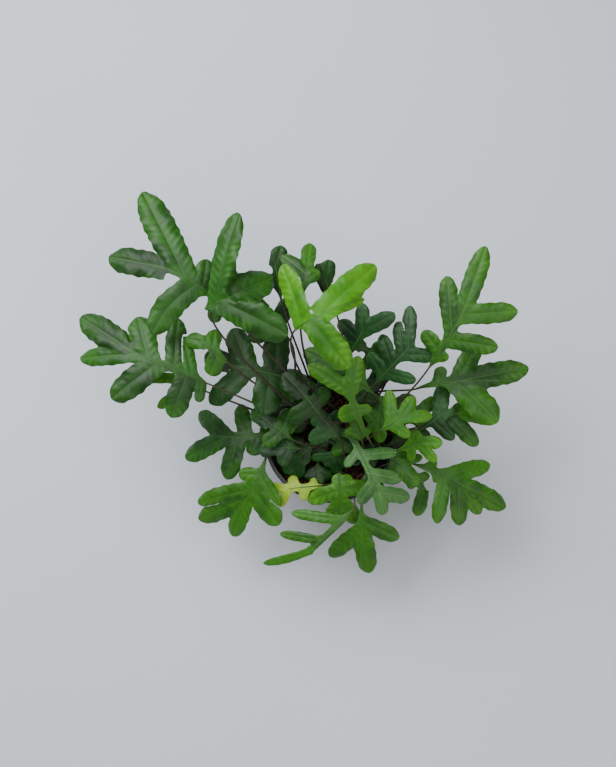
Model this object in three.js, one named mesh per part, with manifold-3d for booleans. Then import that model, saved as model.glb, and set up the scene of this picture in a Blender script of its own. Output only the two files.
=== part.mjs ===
// A kangaroo fern in a black nursery pot: thin lobed fronds on wiry stalks that stand
// in holes in the potting soil. Millimetres, +Z up. The origin is the middle of the
// pot's underside. Headings are degrees from +X towards +Y, seen from above.
import * as THREE from 'three';
import { mergeVertices } from 'three/addons/utils/BufferGeometryUtils.js';
import Module from 'manifold-3d';

const pot = {
  height: 95,
  rimRadius: 60,
  rimDepth: 9,
  rimLip: 2.4,
  rimSlope: 0.6,
  baseRadius: 43,
  wall: 1.4,
  floor: 1.8,
  edgeRound: 1.2,
  facets: 40,
  drainHoles: 6,
  drainRadius: 4,
  drainCircle: 27,
  drainFacets: 10,
};

const soil = {
  top: 85,
  clearance: 0.3,
};

// A stalk is a six-sided rod: foot radius in the soil, neck radius where the blade starts.
const stalk = {
  footDepth: 6,
  collar: 1.5,
  footRadius: 1.35,
  neckRadius: 1.05,
  rings: 4,
  holeGap: 0.35,
  rise: 0.45,
  approach: 0.32,
};

// Half thicknesses of the blade, and how its lobes are shaped.
const blade = {
  ribHalf: 0.95,
  ribEndHalf: 0.55,
  veinHalf: 0.5,
  marginHalf: 0.4,
  baseShare: 0.78,
  widestFrom: 0.5,
  taperPower: 3.2,
  taperRound: 0.6,
  droop: 0.2,
  droopRange: [0.7, 1.3],
  cup: 0.22,
  wave: 0.07,
  waveLength: 21,
  wavePhase: 1.3,
  veinSteps: 30,
  leastShare: 0.3,
  sinusStart: 3,
  sinusStep: 0.5,
  sinusGap: 0.8,
  sinusReach: 0.6,
  wingGap: 3,
  wing: 1.8,
  neckLength: 4,
};

// Where the cross-sections of a lobe lie, as shares of its free length.
const longRows = [0.2, 0.5, 0.78, 0.94];
const shortRows = [0.3, 0.65, 0.92];
const shortLobe = 31;

const leafLook = { roughness: 0.42, metalness: 0 };
const toneColours = {
  dark: 0x2f5c33,
  deep: 0x23452a,
  mid: 0x4c7d36,
  bright: 0x84a835,
  yellow: 0xb0bb49,
  blue: 0x2d574c,
  pale: 0x8ba67c,
};
const potColour = 0x161616;
const soilColour = 0x3a2417;

// Each frond: where its stalk leaves the soil [x, y], where the blade starts [x, y, z],
// the rib's heading there, how far the rib turns (positive to the left), its pitch at
// both ends and its length. A side lobe is [place along the rib, angle from the rib,
// length, width, bend]; the end lobe is [angle, length, width, bend]. Bend is optional.
const fronds = [
  {
    name: 'upper_left_outer',
    tone: 'dark',
    foot: [-6, 15],
    base: [-94, 101, 191],
    sweep: [0.6, 0.15],
    heading: 135,
    turn: 25,
    pitch: [30, -5],
    length: 56,
    droop: 0.18,
    left: [[6, 130, 19, 13], [26, 60, 56, 24, 40]],
    right: [[21, 60, 26, 17], [38, 35, 87, 27]],
    tip: [5, 53, 24],
  },
  {
    name: 'upper_left_inner',
    tone: 'dark',
    foot: [-9, 2],
    base: [-98, 93, 224],
    sweep: [0.45, 0.3],
    heading: 20,
    turn: 0,
    pitch: [65, -5],
    length: 17,
    droop: 0.21,
    left: [[6, 55, 82, 25, -14]],
    right: [[10, 45, 65, 27]],
    tip: [10, 41, 26],
  },
  {
    name: 'left_outer',
    tone: 'dark',
    foot: [-39, 14],
    base: [-108, 38, 168],
    sweep: [0.3, 0.55],
    heading: 160,
    turn: -5,
    pitch: [20, -10],
    length: 68,
    left: [[3, 100, 18, 10], [17, 90, 38, 21], [44, 60, 50, 24], [63, 25, 53, 17]],
    right: [[12, 55, 40, 13], [29, 70, 46, 18], [53, 50, 40, 24]],
    tip: [-10, 61, 24],
  },
  {
    name: 'left_inner',
    tone: 'deep',
    foot: [9, 18],
    base: [-30, 44, 145],
    sweep: [0.5, 0.25],
    heading: 170,
    turn: -5,
    pitch: [25, -15],
    length: 61,
    droop: 0.2,
    left: [[11, 115, 23, 19], [25, 95, 36, 25], [44, 55, 45, 20]],
    right: [[20, 80, 40, 24], [44, 55, 40, 22]],
    tip: [-10, 26, 19],
  },
  {
    name: 'top_bright',
    tone: 'bright',
    foot: [-6, 22],
    base: [-30, 72, 230],
    sweep: [0.4, 0.3],
    heading: 25,
    turn: 0,
    pitch: [65, 0],
    length: 26,
    droop: 0.3,
    left: [[10, 75, 54, 22, 12]],
    right: [[19, 80, 49, 24, -12], [26, 0, 41, 11]],
    tip: [20, 66, 23],
  },
  {
    name: 'middle_bright',
    tone: 'bright',
    foot: [39, -16],
    base: [33, -8, 143],
    sweep: [0.25, 0.55],
    heading: 125,
    turn: -20,
    pitch: [50, 25],
    length: 52,
    droop: 0.26,
    left: [[34, 85, 16, 16], [52, 40, 45, 15]],
    right: [[34, 105, 14, 10]],
    tip: [-25, 33, 15],
  },
  {
    name: 'middle_back',
    tone: 'mid',
    foot: [22, 25],
    base: [37, 31, 151],
    heading: 145,
    turn: 0,
    pitch: [30, 0],
    length: 31,
    droop: 0.17,
    left: [[16, 75, 17, 12]],
    right: [[16, 45, 23, 14]],
    tip: [5, 42, 18],
  },
  {
    name: 'upper_dark',
    tone: 'blue',
    foot: [4, 39],
    base: [17, 67, 146],
    sweep: [0.55, 0.3],
    heading: 60,
    turn: 0,
    pitch: [40, 30],
    length: 24,
    left: [[8, 115, 16, 13], [16, 70, 24, 15]],
    right: [[24, 30, 35, 15]],
    tip: [25, 27, 13],
  },
  {
    name: 'right_centre_blue',
    tone: 'blue',
    foot: [26, 18],
    base: [36, 38, 141],
    sweep: [0.6, 0.25],
    heading: 45,
    turn: 0,
    pitch: [35, 20],
    length: 49,
    left: [[16, 75, 24, 13], [28, 60, 30, 13], [42, 50, 30, 13]],
    right: [[18, 55, 29, 12], [41, 45, 35, 13]],
    tip: [40, 39, 13],
  },
  {
    name: 'right_upper_outer',
    tone: 'mid',
    foot: [26, 5],
    base: [84, 51, 171],
    sweep: [0.2, 0.45],
    heading: 55,
    turn: 5,
    pitch: [35, 15],
    length: 53,
    droop: 0.13,
    left: [[17, 70, 23, 14], [37, 35, 49, 17]],
    right: [[10, 45, 12, 9], [29, 65, 44, 17], [53, 55, 48, 18]],
    tip: [10, 64, 18],
  },
  {
    name: 'right_outer',
    tone: 'mid',
    foot: [30, 39],
    base: [76, 39, 126],
    sweep: [0.65, 0.15],
    heading: 15,
    turn: -15,
    pitch: [35, 10],
    length: 38,
    droop: 0.17,
    left: [[21, 65, 16, 12], [38, 60, 39, 18]],
    right: [[38, 45, 51, 26]],
    tip: [10, 65, 22],
  },
  {
    name: 'right_lower_back',
    tone: 'mid',
    foot: [48, 1],
    base: [93, 11, 111],
    heading: 20,
    turn: 0,
    pitch: [15, -5],
    length: 23,
    left: [[15, 15, 25, 13]],
    right: [[15, 65, 36, 15]],
    tip: [-25, 33, 14],
  },
  {
    name: 'lower_right_outer',
    tone: 'mid',
    foot: [44, -3],
    base: [75, -26, 104],
    sweep: [0.55, 0.3],
    heading: -15,
    turn: -15,
    pitch: [10, -15],
    length: 43,
    left: [[12, 55, 11, 8], [30, 40, 44, 16]],
    right: [[21, 50, 10, 11], [30, 75, 43, 14], [43, 55, 38, 17], [43, 20, 36, 14]],
    tip: [5, 52, 19],
  },
  {
    name: 'right_centre_bright',
    tone: 'bright',
    foot: [31, -4],
    base: [43, -1, 148],
    sweep: [0.35, 0.4],
    heading: 30,
    turn: 0,
    pitch: [35, 5],
    length: 22,
    left: [[11, 60, 31, 12]],
    right: [[11, 60, 20, 10], [22, 25, 27, 11]],
    tip: [30, 22, 12],
  },
  {
    name: 'centre_right_small',
    tone: 'mid',
    foot: [33, 6],
    base: [30, 1, 122],
    sweep: [0.4, 0.35],
    heading: 45,
    turn: 0,
    pitch: [25, 20],
    length: 18,
    droop: 0.14,
    left: [[14, 80, 14, 13]],
    right: [[18, 130, 22, 13]],
    tip: [25, 21, 14],
  },
  {
    name: 'right_lower_small',
    tone: 'bright',
    foot: [42, -19],
    base: [58, -16, 119],
    heading: 20,
    turn: 0,
    pitch: [35, 25],
    length: 23,
    droop: 0.18,
    left: [[16, 40, 15, 12]],
    right: [[16, 110, 14, 9], [23, 65, 24, 10]],
    tip: [-20, 23, 12],
  },
  {
    name: 'lower_pale',
    tone: 'pale',
    foot: [26, 11],
    base: [15, 4, 122],
    sweep: [0.5, 0.4],
    heading: -65,
    turn: 0,
    pitch: [40, -20],
    length: 67,
    droop: 0.29,
    left: [[31, 70, 32, 11], [49, 55, 28, 12], [67, 55, 29, 14]],
    right: [[8, 140, 22, 9], [26, 65, 19, 9], [57, 60, 23, 12]],
    tip: [-10, 21, 12],
  },
  {
    name: 'lower_centre',
    tone: 'bright',
    foot: [20, -38],
    base: [8, -35, 110],
    sweep: [0.55, 0.15],
    heading: -90,
    turn: 0,
    pitch: [10, -40],
    length: 24,
    droop: 0.17,
    left: [[6, 100, 12, 9], [14, 95, 30, 15]],
    right: [[6, 100, 7, 9], [14, 70, 30, 15], [24, 20, 26, 14]],
    tip: [35, 32, 17],
  },
  {
    name: 'bottom_outer',
    tone: 'mid',
    foot: [28, -37],
    base: [28, -60, 99],
    heading: -90,
    turn: 0,
    pitch: [-5, -30],
    length: 24,
    droop: 0.21,
    left: [[17, 65, 38, 16]],
    right: [[24, 45, 40, 17]],
    tip: [10, 46, 19],
  },
  {
    name: 'bottom_narrow',
    tone: 'mid',
    foot: [15, -42],
    base: [19, -68, 104],
    sweep: [0.5, 0.35],
    heading: -137,
    turn: 0,
    pitch: [0, -20],
    length: 52,
    left: [],
    right: [[12, 52, 46, 10], [38, 52, 38, 9]],
    tip: [-20, 46, 8, -15],
  },
  {
    name: 'young_yellow',
    tone: 'yellow',
    foot: [5, -40],
    base: [-7, -45, 103],
    sweep: [0.4, 0.25],
    heading: -175,
    turn: 0,
    pitch: [5, -20],
    length: 31,
    droop: 0.29,
    left: [[15, 70, 12, 9], [31, 55, 18, 9]],
    right: [[9, 105, 8, 6], [25, 80, 12, 10]],
    tip: [-15, 19, 8],
  },
  {
    name: 'left_lower',
    tone: 'dark',
    foot: [-37, 7],
    base: [-49, 1, 105],
    sweep: [0.6, 0.35],
    heading: -170,
    turn: -15,
    pitch: [15, -25],
    length: 45,
    left: [[16, 65, 18, 15], [34, 75, 39, 19]],
    right: [[9, 85, 10, 9], [27, 80, 31, 15], [45, 35, 40, 17]],
    tip: [25, 47, 19],
  },
  {
    name: 'lower_left_outer',
    tone: 'mid',
    foot: [-44, -5],
    base: [-57, -18, 108],
    heading: -105,
    turn: -20,
    pitch: [5, -30],
    length: 43,
    left: [[19, 55, 33, 14], [33, 65, 40, 21]],
    right: [[19, 70, 19, 13], [33, 45, 54, 19], [43, 30, 55, 19]],
    tip: [10, 42, 17],
  },
  {
    name: 'centre_dark_left',
    tone: 'blue',
    foot: [15, -36],
    base: [8, -6, 124],
    sweep: [0.45, 0.15],
    heading: 130,
    turn: 0,
    pitch: [40, 15],
    length: 21,
    droop: 0.17,
    left: [[12, 70, 23, 15]],
    right: [[12, 55, 19, 13]],
    tip: [20, 15, 16],
  },
  {
    name: 'centre_dark_front',
    tone: 'blue',
    foot: [1, 5],
    base: [7, 0, 104],
    heading: -100,
    turn: 0,
    pitch: [15, -25],
    length: 19,
    droop: 0.16,
    left: [[6, 100, 15, 10], [19, 60, 16, 9]],
    right: [[5, 95, 14, 8], [19, 75, 22, 9], [19, 35, 13, 9]],
    tip: [20, 18, 11],
  },
  {
    name: 'front_left_round',
    tone: 'blue',
    foot: [-19, 4],
    base: [-13, -5, 103],
    sweep: [0.55, 0.25],
    heading: -135,
    turn: 0,
    pitch: [5, -20],
    length: 20,
    droop: 0.21,
    left: [[12, 40, 12, 9], [20, 35, 20, 12]],
    right: [[12, 70, 24, 16]],
    tip: [-5, 21, 21],
  },
  {
    name: 'left_small_edge',
    tone: 'mid',
    foot: [-5, 8],
    base: [-25, 10, 114],
    heading: -170,
    turn: 0,
    pitch: [20, -15],
    length: 24,
    left: [[9, 50, 11, 8]],
    right: [[9, 60, 10, 8]],
    tip: [-40, 16, 9],
  },
  {
    name: 'centre_mid_small',
    tone: 'mid',
    foot: [19, -14],
    base: [27, -8, 135],
    sweep: [0.6, 0.4],
    heading: 115,
    turn: 0,
    pitch: [50, 35],
    length: 15,
    droop: 0.22,
    left: [[7, 45, 15, 10]],
    right: [[7, 95, 11, 9]],
    tip: [-10, 13, 11],
  },
  {
    name: 'top_centre_back',
    tone: 'mid',
    foot: [-14, 44],
    base: [-25, 103, 211],
    heading: 80,
    turn: 0,
    pitch: [30, -15],
    length: 26,
    left: [[20, 60, 27, 13]],
    right: [[14, 45, 15, 11]],
    tip: [5, 25, 13],
  },
  {
    name: 'top_left_dark',
    tone: 'deep',
    foot: [-17, 47],
    base: [-43, 107, 185],
    sweep: [0.25, 0.15],
    heading: 100,
    turn: 0,
    pitch: [45, 15],
    length: 30,
    left: [[13, 45, 20, 10]],
    right: [[16, 65, 18, 10]],
    tip: [-25, 19, 14],
  },
  {
    name: 'top_right_dark',
    tone: 'deep',
    foot: [11, 37],
    base: [2, 102, 186],
    sweep: [0.55, 0.55],
    heading: 110,
    turn: 0,
    pitch: [30, 25],
    length: 22,
    droop: 0.11,
    left: [[10, 5, 30, 13]],
    right: [[10, 90, 14, 12]],
    tip: [-25, 19, 14],
  },
  {
    name: 'upper_left_light',
    tone: 'mid',
    foot: [-37, 33],
    base: [-89, 55, 171],
    sweep: [0.2, 0.4],
    heading: 140,
    turn: 0,
    pitch: [25, 5],
    length: 25,
    left: [[11, 110, 19, 16]],
    right: [[17, 55, 18, 13]],
    tip: [25, 18, 14],
  },
  {
    name: 'upper_centre_deep',
    tone: 'deep',
    foot: [-33, 35],
    base: [-36, 79, 147],
    sweep: [0.5, 0.2],
    heading: 135,
    turn: 0,
    pitch: [40, 15],
    length: 35,
    droop: 0.2,
    left: [[18, 65, 28, 17]],
    right: [[18, 65, 28, 16]],
    tip: [10, 30, 18],
  },
  {
    name: 'right_back_dull',
    tone: 'mid',
    foot: [40, 30],
    base: [51, 61, 129],
    sweep: [0.6, 0.2],
    heading: 150,
    turn: 0,
    pitch: [30, 5],
    length: 28,
    left: [[15, 75, 15, 12]],
    right: [[15, 85, 14, 12]],
    tip: [-10, 20, 13],
  },
  {
    name: 'lower_right_mass',
    tone: 'mid',
    foot: [40, 1],
    base: [48, -13, 105],
    sweep: [0.7, 0.4],
    heading: -45,
    turn: 0,
    pitch: [20, 5],
    length: 24,
    droop: 0.24,
    left: [[13, 85, 17, 9], [18, 60, 23, 9]],
    right: [[16, 75, 12, 10], [20, 50, 16, 10]],
    tip: [-5, 21, 15],
  },
  {
    name: 'lower_right_yellow',
    tone: 'mid',
    foot: [39, -30],
    base: [71, -27, 101],
    heading: -60,
    turn: 0,
    pitch: [5, -35],
    length: 27,
    left: [[14, 80, 12, 9]],
    right: [[14, 75, 11, 8]],
    tip: [-35, 25, 14],
  },
  {
    name: 'right_lower_blue',
    tone: 'blue',
    foot: [46, -17],
    base: [78, 2, 110],
    sweep: [0.35, 0.2],
    heading: 35,
    turn: 0,
    pitch: [25, 15],
    length: 24,
    droop: 0.18,
    left: [],
    right: [[18, 75, 25, 12], [24, 0, 17, 12]],
    tip: [45, 32, 15],
  },
  {
    name: 'left_under_yellow',
    tone: 'bright',
    foot: [-48, 14],
    base: [-110, 36, 130],
    heading: 160,
    turn: 0,
    pitch: [25, 0],
    length: 32,
    droop: 0.21,
    left: [[13, 50, 37, 11]],
    right: [[16, 60, 12, 4]],
    tip: [15, 37, 11],
  },
  {
    name: 'centre_back_deep',
    tone: 'deep',
    foot: [-2, 11],
    base: [-11, 24, 125],
    heading: 160,
    turn: 0,
    pitch: [35, 15],
    length: 24,
    droop: 0.12,
    left: [[13, 75, 16, 13]],
    right: [[13, 90, 18, 13]],
    tip: [25, 21, 17],
  },
  {
    name: 'north_deep_left',
    tone: 'deep',
    foot: [1, 27],
    base: [2, 25, 106],
    sweep: [0.55, 0.25],
    heading: 140,
    turn: 0,
    pitch: [20, -10],
    length: 31,
    droop: 0.22,
    left: [[15, 70, 22, 16]],
    right: [[15, 75, 24, 16]],
    tip: [10, 27, 18],
  },
  {
    name: 'north_deep_right',
    tone: 'deep',
    foot: [15, 19],
    base: [16, 22, 108],
    sweep: [0.45, 0.45],
    heading: 45,
    turn: 0,
    pitch: [25, 0],
    length: 31,
    droop: 0.11,
    left: [[16, 75, 24, 15]],
    right: [[16, 55, 20, 14]],
    tip: [5, 23, 17],
  },
  {
    name: 'east_deep',
    tone: 'deep',
    foot: [34, 1],
    base: [38, 5, 107],
    heading: 40,
    turn: 0,
    pitch: [20, 0],
    length: 26,
    droop: 0.16,
    left: [[13, 65, 20, 15]],
    right: [[13, 60, 21, 15]],
    tip: [-5, 23, 17],
  },
  {
    name: 'west_deep',
    tone: 'deep',
    foot: [-23, 20],
    base: [-13, 15, 98],
    sweep: [0.3, 0.45],
    heading: 165,
    turn: 0,
    pitch: [25, -5],
    length: 25,
    droop: 0.21,
    left: [[12, 75, 17, 15]],
    right: [[12, 65, 19, 15]],
    tip: [0, 22, 15],
  },
  {
    name: 'south_deep',
    tone: 'deep',
    foot: [12, 5],
    base: [2, -3, 94],
    sweep: [0.4, 0.5],
    heading: -150,
    turn: 0,
    pitch: [10, -10],
    length: 20,
    droop: 0.14,
    left: [[10, 55, 14, 10]],
    right: [[10, 70, 14, 9]],
    tip: [-5, 16, 13],
  },
  {
    name: 'south_east_deep',
    tone: 'deep',
    foot: [17, -5],
    base: [22, -7, 89],
    sweep: [0.35, 0.25],
    heading: -50,
    turn: 0,
    pitch: [35, 15],
    length: 18,
    droop: 0.08,
    left: [[11, 70, 18, 13]],
    right: [[11, 75, 14, 13]],
    tip: [0, 12, 14],
  },
  {
    name: 'east_low',
    tone: 'deep',
    foot: [42, -11],
    base: [50, -9, 95],
    sweep: [0.55, 0.3],
    heading: 20,
    turn: 0,
    pitch: [20, 0],
    length: 23,
    left: [[12, 50, 17, 12]],
    right: [[12, 70, 15, 12]],
    tip: [-10, 20, 14],
  },
  {
    name: 'centre_cover',
    tone: 'deep',
    foot: [32, 19],
    base: [-8, 9, 157],
    sweep: [0.5, 0.25],
    heading: 130,
    turn: 0,
    pitch: [45, 10],
    length: 28,
    droop: 0.2,
    left: [[14, 75, 24, 17]],
    right: [[14, 75, 20, 15]],
    tip: [5, 26, 19],
  },
  {
    name: 'centre_cover_left',
    tone: 'dark',
    foot: [8, -12],
    base: [-34, -6, 126],
    sweep: [0.2, 0.2],
    heading: 145,
    turn: 0,
    pitch: [25, -10],
    length: 24,
    droop: 0.26,
    left: [[12, 70, 20, 14]],
    right: [[12, 75, 22, 15]],
    tip: [-5, 22, 16],
  },
  {
    name: 'front_left_edge',
    tone: 'blue',
    foot: [-26, 3],
    base: [-27, -13, 117],
    sweep: [0.5, 0.2],
    heading: 180,
    turn: 0,
    pitch: [25, -10],
    length: 20,
    droop: 0.18,
    left: [[10, 65, 17, 13]],
    right: [[10, 65, 16, 13]],
    tip: [5, 18, 14],
  },
  {
    name: 'south_east_fill',
    tone: 'mid',
    foot: [27, -30],
    base: [31, -28, 100],
    sweep: [0.3, 0.3],
    heading: -55,
    turn: 0,
    pitch: [25, -5],
    length: 14,
    droop: 0.11,
    left: [[9, 60, 13, 11]],
    right: [[9, 60, 13, 11]],
    tip: [-5, 13, 11],
  },
  {
    name: 'east_fill',
    tone: 'dark',
    foot: [19, 5],
    base: [40, 8, 114],
    sweep: [0.4, 0.3],
    heading: 40,
    turn: 0,
    pitch: [25, 0],
    length: 20,
    droop: 0.14,
    left: [[10, 70, 17, 13]],
    right: [[10, 70, 17, 13]],
    tip: [0, 18, 14],
  },
  {
    name: 'centre_low_mid',
    tone: 'mid',
    foot: [14, -21],
    base: [20, -18, 108],
    sweep: [0.35, 0.35],
    heading: 125,
    turn: 0,
    pitch: [20, -5],
    length: 18,
    droop: 0.29,
    left: [[9, 75, 15, 11]],
    right: [[9, 75, 14, 11]],
    tip: [10, 15, 12],
  },
  {
    name: 'right_fill',
    tone: 'mid',
    foot: [45, 10],
    base: [67, 10, 103],
    sweep: [0.45, 0.35],
    heading: 40,
    turn: 0,
    pitch: [25, 0],
    length: 20,
    droop: 0.18,
    left: [[10, 70, 17, 12]],
    right: [[10, 70, 16, 12]],
    tip: [-5, 18, 13],
  },
  {
    name: 'front_deep',
    tone: 'deep',
    foot: [-12, -20],
    base: [-11, -23, 92],
    heading: -90,
    turn: 0,
    pitch: [15, -5],
    length: 16,
    droop: 0.18,
    left: [[8, 70, 14, 12]],
    right: [[8, 70, 14, 12]],
    tip: [0, 14, 13],
  },
];

const toRadians = THREE.MathUtils.degToRad;
const mix = THREE.MathUtils.lerp;

// A repeatable number from 0 to 1 for each lobe or frond.
function draw(seed) {
  const value = Math.sin(seed * 12.9898 + 4.137) * 43758.5453;
  return value - Math.floor(value);
}

// Unit vector along the rib, s millimetres from the start of the blade.
function ribDirection(frond, s) {
  const share = s / frond.length;
  const heading = toRadians(frond.heading + frond.turn * share);
  const pitch = toRadians(mix(frond.pitch[0], frond.pitch[1], share));
  return new THREE.Vector3(
    Math.cos(pitch) * Math.cos(heading),
    Math.cos(pitch) * Math.sin(heading),
    Math.sin(pitch),
  );
}

// The rib's place and its along, side (left) and up vectors, s millimetres from its start.
function ribFrame(frond, s) {
  const steps = 12;
  const point = new THREE.Vector3(...frond.base);
  for (let i = 0; i < steps; i += 1) {
    point.addScaledVector(ribDirection(frond, (s * (i + 0.5)) / steps), s / steps);
  }
  const along = ribDirection(frond, s);
  const side = new THREE.Vector3(-along.y, along.x, 0).normalize();
  const up = new THREE.Vector3().crossVectors(along, side);
  return { point, along, side, up };
}

// A lobe lies in the plane of the rib where it starts. hand is 1 on the left, -1 on the
// right and 0 for the end lobe.
function makeLobe(frond, values, hand, seed) {
  const [at, angle, length, width, bend = 0] = values;
  const frame = ribFrame(frond, at);
  frame.side.multiplyScalar(hand || 1);
  return {
    at,
    frame,
    length,
    width,
    isEnd: hand === 0,
    angle: toRadians(angle),
    bend: toRadians(bend),
    droop: (frond.droop ?? blade.droop) * mix(...blade.droopRange, draw(seed)),
    phase: draw(seed + 0.5) * 2 * Math.PI,
  };
}

function halfWidth(lobe, u) {
  const share = Math.min(u / lobe.length, 1);
  const rise = THREE.MathUtils.smoothstep(share, 0, blade.widestFrom);
  const fall = Math.max(0, (share - blade.widestFrom) / (1 - blade.widestFrom));
  const round = (1 - fall ** blade.taperPower) ** blade.taperRound;
  return 0.5 * lobe.width * mix(blade.baseShare, 1, rise) * round;
}

// A point of a lobe, u along its vein and across it by a share from -1 to 1 of its half
// width. The vein bends evenly, and the blade droops to its tip, cups and waves.
function lobePoint(lobe, u, across) {
  const share = u / lobe.length;
  const middle = lobe.angle + lobe.bend * share * 0.5;
  const angle = lobe.angle + lobe.bend * share;
  const half = halfWidth(lobe, u);
  const x = u * Math.cos(middle) - across * half * Math.sin(angle);
  const y = u * Math.sin(middle) + across * half * Math.cos(angle);
  const edge = across * across;
  const turn = (2 * Math.PI * u) / blade.waveLength + lobe.phase + across * blade.wavePhase;
  const lift = -lobe.droop * lobe.length * share * share
    - blade.cup * half * edge * share
    + blade.wave * lobe.width * edge * Math.min(1, 2 * share) * Math.sin(turn);
  return lobe.frame.point.clone()
    .addScaledVector(lobe.frame.along, x)
    .addScaledVector(lobe.frame.side, y)
    .add(new THREE.Vector3(0, 0, lift));
}

// The nearest place to a point on a lobe's vein.
function nearestOnVein(point, lobe) {
  let nearest = { u: 0, distance: Infinity };
  for (let i = 0; i <= blade.veinSteps; i += 1) {
    const u = (lobe.length * i) / blade.veinSteps;
    const distance = point.distanceTo(lobePoint(lobe, u, 0));
    if (distance < nearest.distance) nearest = { u, distance };
  }
  return nearest;
}

// The share of its half width that a lobe keeps on the side of a neighbour at u, so that
// crowded lobes lie edge to edge.
function edgeShare(lobe, neighbour, u) {
  if (!neighbour) return 1;
  const half = halfWidth(lobe, u);
  const near = nearestOnVein(lobePoint(lobe, u, 0), neighbour);
  const room = ((near.distance - blade.sinusGap) * half) / (half + halfWidth(neighbour, near.u));
  return THREE.MathUtils.clamp(room / half, blade.leastShare, 1);
}

// How far out a lobe's edge is clear of the rib by a wing's width. An end lobe that turns
// away from that side of the rib is clear from its start.
function edgeStart(lobe, across, hand) {
  if (lobe.isEnd && hand * lobe.angle < 0) return 0;
  const side = lobe.frame.side.clone().multiplyScalar(lobe.isEnd ? hand : 1);
  let u = blade.sinusStart;
  const offset = () => lobePoint(lobe, u, across).sub(lobe.frame.point).dot(side);
  while (u < blade.sinusReach * lobe.length && offset() < blade.wing) u += blade.sinusStep;
  return u;
}

// Where two neighbouring lobes part. Close lobes share one point there, and lobes far
// apart each keep an edge of their own, with a wing of the rib between them.
function findSinus(lobe, next, hand) {
  const limit = blade.sinusReach * lobe.length;
  let u = blade.sinusStart;
  let near;
  let gap;
  const measure = () => {
    near = nearestOnVein(lobePoint(lobe, u, 0), next);
    gap = near.distance - halfWidth(lobe, u) - halfWidth(next, near.u);
  };
  measure();
  if (gap > blade.wingGap) {
    const across = next.isEnd ? hand : 1;
    const frontU = edgeStart(lobe, -1, hand);
    const nextU = edgeStart(next, across, hand);
    return {
      u: frontU,
      nextU,
      front: lobePoint(lobe, frontU, -1),
      back: lobePoint(next, nextU, across),
    };
  }
  while (u < limit && gap < blade.sinusGap) {
    u += blade.sinusStep;
    measure();
  }
  const share = halfWidth(lobe, u) / (halfWidth(lobe, u) + halfWidth(next, near.u));
  const front = lobePoint(lobe, u, 0).lerp(lobePoint(next, near.u, 0), share);
  return { u, nextU: near.u, front, back: null };
}

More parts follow.
